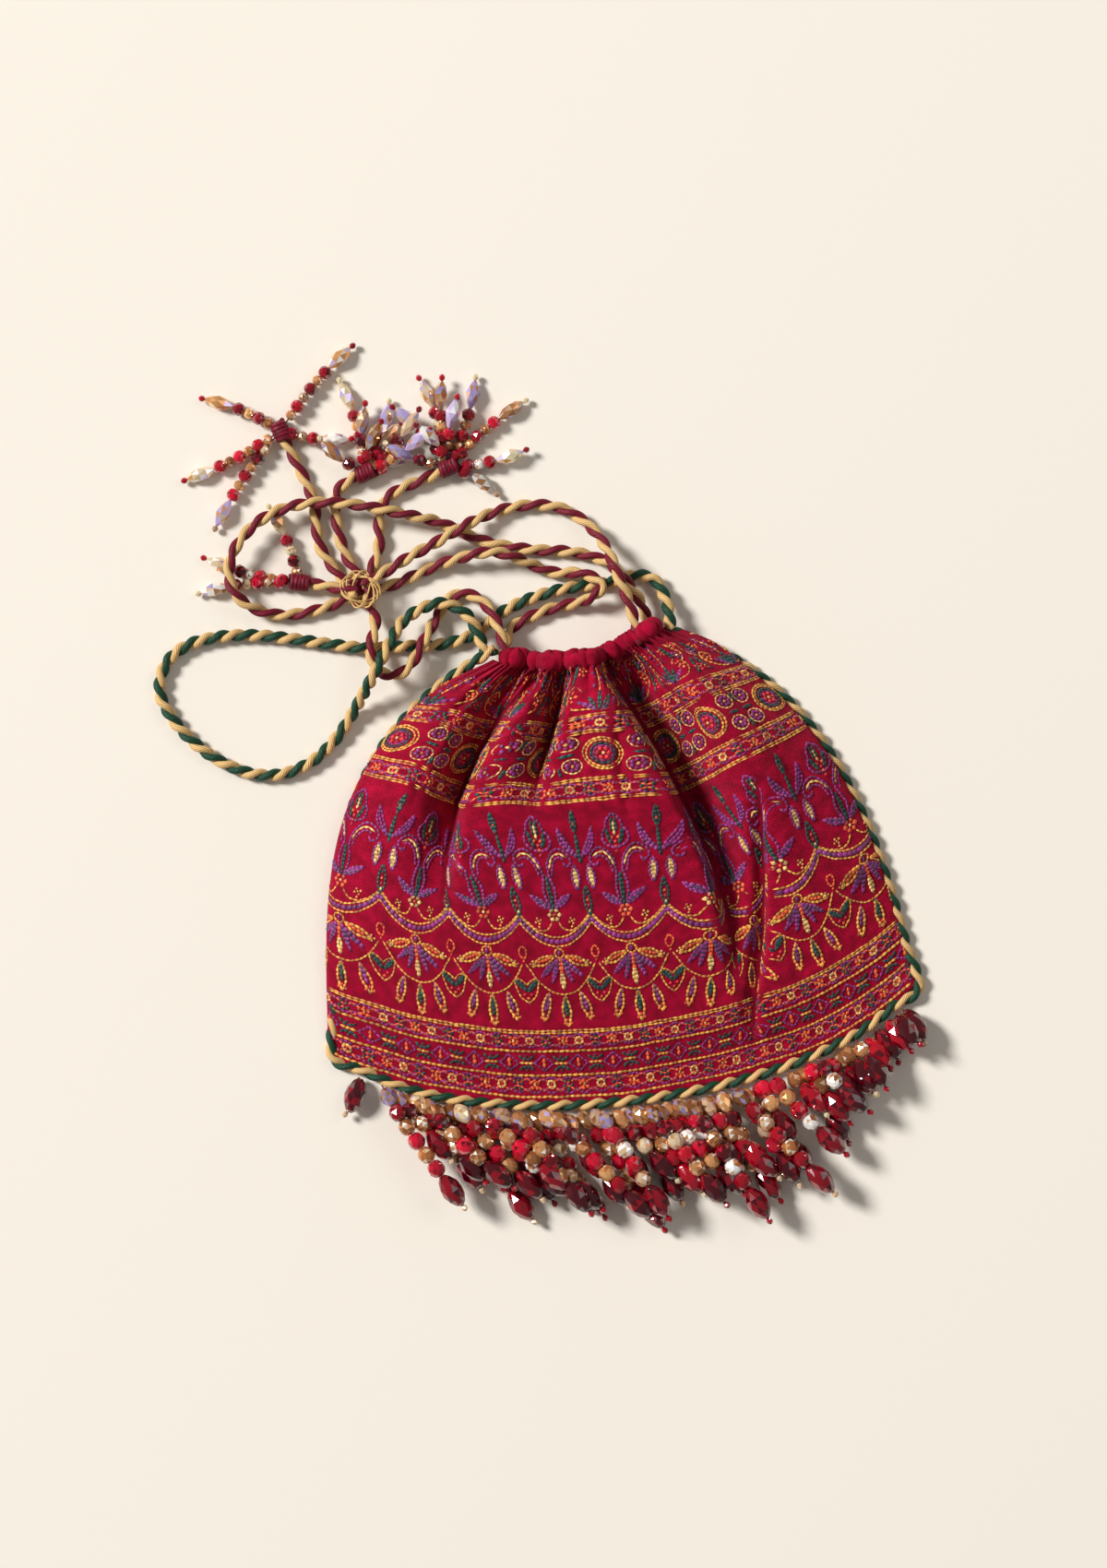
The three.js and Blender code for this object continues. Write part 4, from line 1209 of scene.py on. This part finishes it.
def on_back(s, h):
    u, t = 0.5 + s / CLOTH_WIDTH, (h - HIDDEN_EDGE) / CENTRE_HEIGHT_OF_CLOTH
    return back_point(np.clip(u, STITCH_EDGE_ROOM, 1 - STITCH_EDGE_ROOM), np.clip(t, 0, 1), BACK_STITCH_ROOM)


for colour, rows in work.stitches.items():
    for face, place, side in (("front", on_front, 1.0), ("back", on_back, -1.0)):
        piece = stitch_piece(f"{colour}_{face}_stitch", rows, THREADS[colour], place, side)
        dress(piece)


# The two panels
def panel(name, columns, rows, top, bottom, material, flat_place):
    u, t = np.meshgrid(np.linspace(0, 1, columns + 1), np.linspace(0, 1, rows + 1))
    upper, lower = top(u, t).reshape(-1, 3), bottom(u, t).reshape(-1, 3)
    count = len(upper)
    faces = np.vstack([grid_faces(rows + 1, columns + 1), grid_faces(rows + 1, columns + 1, count, True)])
    index = np.arange(count).reshape(rows + 1, columns + 1)
    rim = np.concatenate([index[0, :-1], index[:-1, -1], index[-1, :0:-1], index[:0:-1, 0]])
    after = np.roll(rim, -1)
    faces = np.vstack([faces, np.stack([rim, rim + count, after + count, after], axis=1)])
    flat = np.stack(flat_place(u, t), axis=-1).reshape(-1, 2)
    flat = np.vstack([flat, flat])
    return make_piece(name, np.vstack([upper, lower]), faces.tolist(), [material], uv=flat[faces.ravel()])


front = panel("front_cloth", FRONT_COLUMNS, FRONT_ROWS, front_point, lambda u, t: front_point(u, t, 0.0),
              cloth, cloth_map.to_flat)
back = panel("back_cloth", BACK_COLUMNS, BACK_ROWS, lambda u, t: back_point(u, t, CLOTH_THICKNESS),
             lambda u, t: back_point(u, t, BACK_STITCH_ROOM), cloth,
             lambda u, t: (u * CLOTH_WIDTH, t * CLOTH_HEIGHT))
for sheet, node in ((front, "front_panel"), (back, "back_panel")):
    dress(sheet, node)


# The ruffled casings that hold the drawstrings
def casing(name, node, underside):
    u = np.linspace(CASING_END_SHARE, 1 - CASING_END_SHARE, CASING_STEPS)
    offset = CASING_RADIUS - CASING_OVERLAP
    x, y = np.array([mouth_curve.outward(share, -offset) for share in u]).T
    y = y + mouth_raise(u)
    centre = np.stack([x, y, underside(u, np.ones_like(u)) + CLOTH_THICKNESS / 2], axis=1)
    sides, ups = frames_along(centre)
    angles = np.linspace(0, 2 * math.pi, CASING_SIDES, endpoint=False)
    pleat = pleat_wave(u)[:, None]
    wave = np.sin(61.0 * u + 2 * np.sin(27.0 * u))[:, None]
    twist = np.cos(angles + 4 * pleat + 40 * u[:, None])
    closed = np.minimum(1, np.minimum(u - u[0], u[-1] - u) / CASING_CLOSING)[:, None]
    radius = CASING_RADIUS * (CASING_SIZE + CASING_PLEAT * pleat + CASING_TWIST * twist + CASING_WAVE * wave)
    radius = (radius * lerp(CASING_END_SIZE, 1, np.sqrt(closed))
              + CASING_SLANT * np.sin(29.0 * u)[:, None] * np.cos(angles))
    rings = (centre[:, None] + sides[:, None] * (radius * np.cos(angles))[..., None]
             + ups[:, None] * (radius * np.sin(angles))[..., None])
    rings[..., 2] = np.maximum(rings[..., 2], FLOOR_ROOM)
    points, faces = tube(rings)
    flat = np.stack(np.broadcast_arrays(u[:, None] * CLOTH_WIDTH, angles * CASING_RADIUS), axis=-1)
    flat = np.concatenate([flat.reshape(-1, 2), np.zeros((2, 2))])
    corners = np.array([i for face in faces for i in face])
    return dress(make_piece(name, points, faces, [casing_wool_painted_lighter], uv=flat[corners]), node)


casing("front_ruffle", "front_casing", lambda u, t: front_height(u, t, fine=False))
casing("back_ruffle", "back_casing", back_height)


# Cords of two plies
def reaching(path, before, after):
    """A path that runs straight on past its two ends, into what holds the cord there."""
    ways = unit(path[0] - path[2]), unit(path[-1] - path[-3])
    first = [path[0] + ways[0] * s for s in np.arange(before, 0, -CORD_STEP)]
    last = [path[-1] + ways[1] * s for s in np.arange(CORD_STEP, after + CORD_STEP / 2, CORD_STEP)]
    return np.vstack([*first, path, *last])


def twisted(name, path, radius, pitch, plies, phase=0.0):
    sides, ups = frames_along(path)
    along = run_along(path)
    angles = np.linspace(0, 2 * math.pi, CORD_SIDES, endpoint=False)
    share = np.arange(CORD_SIDES + 1) / CORD_SIDES
    lay = np.broadcast_arrays(np.stack([share[:-1], share[1:], share[1:], share[:-1]], axis=1)[None],
                              np.stack([along[:-1], along[:-1], along[1:], along[1:]], axis=1)[:, None])
    parts, uv = [], []
    for number in range(2):
        turn = phase + 2 * math.pi * along / pitch + math.pi * number
        outward = sides * np.cos(turn)[:, None] + ups * np.sin(turn)[:, None]
        centre = path + outward * radius * PLY_OFFSET
        beside = unit(np.cross(unit(np.gradient(centre, axis=0)), outward))
        rings = centre[:, None] + radius * PLY_RADIUS * (
            outward[:, None] * np.cos(angles)[:, None] + beside[:, None] * np.sin(angles)[:, None])
        parts.append((*tube(rings), number))
        uv += [np.stack(lay, axis=-1).reshape(-1, 2), np.zeros((6 * CORD_SIDES, 2))]
    points, faces, slots = joined(parts)
    return make_piece(name, points, faces, plies, slots, np.vstack(uv))


def declare_cord(piece, path, node):
    dress(piece, node)
    length = float(run_along(path)[-1])


def piping_route():
    def lifted(t):
        return PIPING_LEVEL + SEAM_LIFT * float(smoothstep(t, LIFT_START, 1))
    side_shares = (1, 0.93, 0.86, 0.78, 0.68, 0.56, 0.44, 0.32, 0.2, 0.09)
    hem_shares = (0.04, 0.12, 0.22, 0.33, 0.44, 0.56, 0.67, 0.78, 0.88, 0.96)
    corner = PIPING_CORNER_ROOM * PIPING_OFFSET
    return [
        *((*left_curve.outward(t, -PIPING_OFFSET), lifted(t)) for t in side_shares),
        (-HEM_CORNER[0] - corner, HEM_CORNER[1] - corner, PIPING_LEVEL),
        *((*hem_curve.outward(u, PIPING_OFFSET), PIPING_LEVEL) for u in hem_shares),
        (HEM_CORNER[0] + corner, HEM_CORNER[1] - corner, PIPING_LEVEL),
        *((*right_curve.outward(t, PIPING_OFFSET), lifted(t)) for t in reversed(side_shares)),
    ]


piping_path = reaching(route_curve(piping_route()), SEAM_END, SEAM_END)
piping = twisted("seam_cord", piping_path, PIPING_RADIUS, PIPING_PITCH, [gold_ply, green_ply])
dress(piping, "seam_piping")

loop_path = reaching(route_curve(LOOP_ROUTE), SEAM_END, SEAM_END)
loop = twisted("carrying_loop_cord", loop_path, LOOP_RADIUS, LOOP_PITCH, [gold_ply, green_ply])
declare_cord(loop, loop_path, "carrying_loop")


# Beads
ROUND_PROFILE = ((-0.5, 0.42), (-0.38, 0.76), (-0.15, 0.98), (0.15, 0.98), (0.38, 0.76), (0.5, 0.42))
# Sides, and the profile: places along the bead with the share of its radius there
BEAD_SHAPES = {
    "seed": (6, ((-0.5, 0.45), (-0.25, 0.88), (0.0, 1.0), (0.25, 0.88), (0.5, 0.45))),
    "red": (8, ROUND_PROFILE),
    "pearl": (8, ROUND_PROFILE),
    "oval": (8, ((-0.5, 0.34), (-0.36, 0.66), (-0.1, 0.96), (0.12, 1.0), (0.36, 0.76), (0.5, 0.4))),
    "drop": (9, ((-0.5, 0.2), (-0.43, 0.48), (-0.26, 0.84), (-0.04, 1.0), (0.18, 0.94), (0.4, 0.58),
                 (0.5, 0.26))),
    "slim": (6, ((-0.5, 0.24), (-0.3, 0.72), (-0.05, 1.0), (0.22, 0.8), (0.5, 0.24))),
}
BEAD_GAP = 0.12
# The glasses that each kind of bead is cut from, and how often a facet is of another one; such a facet is
# painted light: a darker copy paints shade, a lighter copy a highlight and the near-white glass a glint
BEAD_GLASS = {
    "seed": ("red", "red", "pale"),
    "red": ("red", "red", "dark", "bright"),
    "drop": ("red", "dark", "dark", "red"),
    "pearl": ("pearl", "pearl", "amber", "pale", "amber", "pearl", "painted_glint"),
    "oval": ("pale", "pearl", "amber", "pearl", "lilac"),
    "slim": ("lilac", "pale", "painted_glint", "pearl"),
}
FACET_CHANGE = {"seed": 0.0, "red": 0.25, "drop": 0.35, "pearl": 0.4, "oval": 0.4, "slim": 0.45}
GLASS_SLOTS = list(GLASS)
THREAD_SLOT = len(GLASS_SLOTS)
strand_materials = [*GLASS.values(), bead_thread]


def bead(centre, axis, shape):
    """A cut bead: rings of corners, each turned half a step against the one before."""
    sides, profile = BEAD_SHAPES[shape["kind"]]
    axis = unit(np.array(axis, float))
    side = unit(np.cross(axis, (0.31, 0.17, 1.0)))
    up = np.cross(side, axis)
    spin = random.uniform(0, math.pi)
    rings = []
    for number, (place, share) in enumerate(profile):
        angles = spin + 2 * math.pi * (np.arange(sides) + 0.5 * number) / sides
        radius = shape["radius"] * share
        middle = centre + axis * place * (shape["length"] - BEAD_GAP)
        rings.append(middle + radius * (np.outer(np.cos(angles), side) + np.outer(np.sin(angles), up)))
    points = np.vstack([*rings, rings[0].mean(axis=0), rings[-1].mean(axis=0)])
    faces = []
    for row in range(len(rings) - 1):
        for k in range(sides):
            a, b = row * sides + k, row * sides + (k + 1) % sides
            c, d = a + sides, b + sides
            faces += [[a, b, c], [b, d, c]]
    first, last = len(rings) * sides, len(rings) * sides + 1
    start = (len(rings) - 1) * sides
    for k in range(sides):
        following = (k + 1) % sides
        faces += [[first, following, k], [last, start + k, start + following]]
    glasses = BEAD_GLASS[shape["kind"]]
    main = glasses[random.integers(len(glasses))]
    change = FACET_CHANGE[shape["kind"]]
    # Painted light on the cut glass: single facets take another glass at random, which paints shade,
    # highlights and glints on them
    picks = [glasses[random.integers(len(glasses))] if random.random() < change else main for _ in faces]
    return points, faces, [GLASS_SLOTS.index(glass) for glass in picks]


def strand(path, beads):
    """Beads threaded on a path from its free end, and the thread through them."""
    along = run_along(path)
    parts = []
    at = 0.0
    for shape in beads:
        before, centre, after = points_at(at + shape["length"] * np.array((0.1, 0.5, 0.9)), along, path)
        centre[2] = max(centre[2], shape["radius"] + BEAD_GAP)
        parts.append(bead(centre, after - before, shape))
        at += shape["length"]
    parts.append((*round_tube(path, THREAD_RADIUS, 6), THREAD_SLOT))
    return parts


def strand_piece(name, parts, node, extra=()):
    points, faces, slots = joined(parts)
    piece = make_piece(name, points, faces, [*strand_materials, *extra], slots, smooth=False)
    return dress(piece, node)


def fringe_path(number, layer):
    """The way of one strand; those of the second layer hang between the others, on top of them."""
    pitch = (LAST_STRAND_SHARE - FIRST_STRAND_SHARE) / (STRAND_COUNT - 1)
    share = FIRST_STRAND_SHARE + pitch * (number + 0.5 * layer + STRAND_SCATTER * random.uniform(-1, 1))
    corner = number == 0
    shrink = float(smoothstep(share, BEADS_SHRINK_START, LAST_STRAND_SHARE))
    count = LAST_STRAND_BEADS if corner else round(lerp(len(FRINGE_BEADS), LAST_STRAND_BEADS, shrink))
    beads = list(FRINGE_BEADS[:count])
    if count > LAST_STRAND_BEADS + 1:
        change = EXTRA_BEADS[layer][random.integers(len(EXTRA_BEADS[layer]))]
        beads = beads[:2] + [RED_BEAD, PEARL_BEAD][:max(change, 0)] + beads[2 - min(change, 0):]
    length = sum(shape["length"] for shape in beads)
    lean = CORNER_STRAND_LEAN if corner else lerp(LEFT_STRAND_LEAN, RIGHT_STRAND_LEAN, share)
    lean = math.radians(lean + LEAN_SCATTER * random.uniform(-1, 1))
    upper = (number + layer) % 2 == 1
    seat = PIPING_RADIUS + 1.5 * SEWN_GAP
    seat_angle = math.radians(UPPER_SEAT_ANGLE if upper else LOWER_SEAT_ANGLE)
    start = hem_curve.outward(share, PIPING_OFFSET + seat * math.cos(seat_angle))
    low = DROP["radius"] + SEWN_GAP + layer * LAYER_RISE
    top = low + 2 * DROP["radius"] - LAYER_ROOM if upper and not layer else low
    first = PIPING_RADIUS + seat * math.sin(seat_angle)
    heights = [(0, first), (ROW_RISE, lerp(first, top, FIRST_RISE_SHARE)), (2 * ROW_RISE, top),
               (length, top)]
    sway = STRAND_SWAY * random.uniform(-1, 1)
    route = []
    for s, z in heights:
        if s <= length:
            aside = sway * math.sin(math.pi * s / length)
            route.append((start[0] + math.cos(lean) * s - math.sin(lean) * aside,
                          start[1] + math.sin(lean) * s + math.cos(lean) * aside, z))
    return route_curve(route[::-1], step=1.5), beads


for number in range(STRAND_COUNT):
    parts = []
    for layer in range(1 if number == 0 else 2):
        parts += strand(*fringe_path(number, layer))
    strand_piece(f"bead_strand_{number + 1:02d}", parts, f"fringe_strand_{number + 1:02d}")


# Tassels: a head wound with cord, and its strands
def wound_head(centre, axis):
    """A barrel of cord laid round and round."""
    axis = unit(np.array(axis, float))
    side = unit(np.cross(axis, (0.0, 0.0, 1.0)))
    up = np.cross(side, axis)
    angle = np.linspace(0, 2 * math.pi * HEAD_TURNS, 26 * HEAD_TURNS)[:, None]
    reach = HEAD_HALF_LENGTH - HEAD_CORD_RADIUS
    place = np.linspace(-reach, reach, len(angle))[:, None]
    swell = (HEAD_RADIUS - HEAD_CORD_RADIUS) * (1 - HEAD_TAPER * (place / HEAD_HALF_LENGTH) ** 4)
    path = centre + axis * place + swell * (np.cos(angle) * side + np.sin(angle) * up)
    return round_tube(path, HEAD_CORD_RADIUS, 8)


def tassel_beads_within(reach):
    kept = []
    for shape in TASSEL_BEADS:
        reach -= shape["length"]
        if reach < 0:
            break
        kept.append(shape)
    return kept


HEAD_SLOT = THREAD_SLOT + 1
for name, tassel in TASSELS.items():
    centre = np.array(tassel["head"])
    parts = [(*wound_head(centre, tassel["from"]), HEAD_SLOT)]
    for number, end in enumerate(tassel["ends"]):
        tip = np.array(end, float)
        beads = tassel_beads_within(np.linalg.norm(tip - centre) - HEAD_RADIUS / 2)
        share = np.linspace(0, 1, 30)[:, None]
        across = unit(np.cross(centre - tip, (0, 0, 1.0)))
        bend = (TASSEL_BEND if number % 2 else -TASSEL_BEND) * np.sin(math.pi * share)
        parts += strand(lerp(tip, centre, share) + across * bend, beads)
    strand_piece(f"{name}_beads", parts, name, [maroon_ply])


# The knot: thin cord wound into a lump, with a loose gold thread round it
def trefoil():
    angle = np.linspace(0.2, 2 * math.pi, 60)
    turns = np.stack([np.sin(angle) + 2 * np.sin(2 * angle), np.cos(angle) - 2 * np.cos(2 * angle),
                      -KNOT_RISE * np.sin(3 * angle)], axis=1)
    return route_curve(np.array(KNOT_CENTRE) + turns * KNOT_SCALE, step=KNOT_STEP)


def loose_loops():
    """Loops of thin gold thread that lie round the knot."""
    parts = []
    for _ in range(KNOT_LOOPS):
        angle = np.linspace(0, 2 * math.pi, 18) + random.uniform(0, math.pi)
        long, wide = KNOT_RADIUS * random.uniform(0.8, 1.15), KNOT_RADIUS * random.uniform(0.4, 0.8)
        turn = random.uniform(0, math.pi)
        x, y = long * np.cos(angle), wide * np.sin(angle)
        height = KNOT_HALF_HEIGHT * 0.75 + 0.7 * np.sin(2 * angle)
        ring = np.stack([x * math.cos(turn) - y * math.sin(turn), x * math.sin(turn) + y * math.cos(turn),
                         height], axis=1)
        path = route_curve(np.array(KNOT_CENTRE) + ring, step=KNOT_STEP)
        parts.append((*round_tube(path, LOOSE_THREAD_RADIUS, 6), 0))
    return parts


DRAWSTRING_PLIES = [gold_ply, maroon_ply]
knot_cord = twisted("cord_knot", trefoil(), KNOT_CORD_RADIUS, KNOT_PITCH, DRAWSTRING_PLIES)
dress(knot_cord, "drawstring_knot")
points, faces, slots = joined(loose_loops())
knot_thread = make_piece("knot_thread", points, faces, [gold_ply], slots)
dress(knot_thread)

phases = iter(np.linspace(0.3, 5.0, len(TASSEL_CORD_ROUTES) + len(DRAWSTRING_ROUTES)))


def drawstring(name, path):
    return twisted(f"{name}_twisted", path, DRAWSTRING_RADIUS, MAROON_CORD_PITCH, DRAWSTRING_PLIES,
                   next(phases))


tassel_cords = {}
for name, route in TASSEL_CORD_ROUTES.items():
    path = reaching(route_curve(route), KNOT_END, HEAD_END)
    tassel_cords[name] = (drawstring(name, path), path)
short_cord = dress(tassel_cords["tassel_cord_d"][0], "tassel_cord_d")
for name, route in DRAWSTRING_ROUTES.items():
    path = reaching(route_curve(route), CASING_END, KNOT_END)
    declare_cord(drawstring(name, path), path, name)
for letter in "abc":
    piece, path = tassel_cords[f"tassel_cord_{letter}"]
    declare_cord(piece, path, f"tassel_cord_{letter}")


# Floor, lights and camera
FLOOR_COLOUR = (243, 235, 222)
FLOOR_REACH = 3000.0
WORLD_COLOUR = (1.0, 0.985, 0.96, 1.0)
WORLD_STRENGTH = 0.22


def floor():
    material = new_material("floor", FLOOR_COLOUR, 0.9, Specular_IOR_Level=0.1)
    corners = [(x * FLOOR_REACH, y * FLOOR_REACH, 0) for x, y in ((-1, -1), (1, -1), (1, 1), (-1, 1))]
    return make_piece("floor", corners, [[0, 1, 2, 3]], [material], smooth=False)


floor()


def lamp(name, place, size, power):
    """A round lamp, placed in metres, that points to the middle of the pouch."""
    light = bpy.data.lights.new(name, "AREA")
    light.shape = "DISK"
    light.size = size
    light.energy = power
    holder = bpy.data.objects.new(name, light)
    holder.location = place
    x, y, z = place
    holder.rotation_euler = (math.atan2(math.hypot(x, y), z), 0, math.atan2(-y, -x) - math.pi / 2)
    bpy.context.scene.collection.objects.link(holder)


lamp("key_lamp", (-6.1, 4.0, 6.0), size=2.4, power=1060.0)
lamp("fill_lamp", (2.6, 1.2, 3.0), size=2.0, power=16.0)

world = bpy.data.worlds.new("studio")
world.use_nodes = True
world.node_tree.nodes["Background"].inputs["Color"].default_value = WORLD_COLOUR
world.node_tree.nodes["Background"].inputs["Strength"].default_value = WORLD_STRENGTH
bpy.context.scene.world = world
bpy.context.scene.view_settings.view_transform = "Standard"

camera_data = bpy.data.cameras.new("camera")
camera_data.sensor_fit = "VERTICAL"
camera_data.sensor_height = SENSOR_HEIGHT
camera_data.lens = SENSOR_HEIGHT * CAMERA_HEIGHT / PICTURE_HEIGHT
camera = bpy.data.objects.new("camera", camera_data)
camera.location = (PICTURE_CENTRE[0] * MM, PICTURE_CENTRE[1] * MM, CAMERA_HEIGHT * MM)
camera.rotation_euler = (0, 0, PICTURE_TURN)
bpy.context.scene.collection.objects.link(camera)
bpy.context.scene.camera = camera
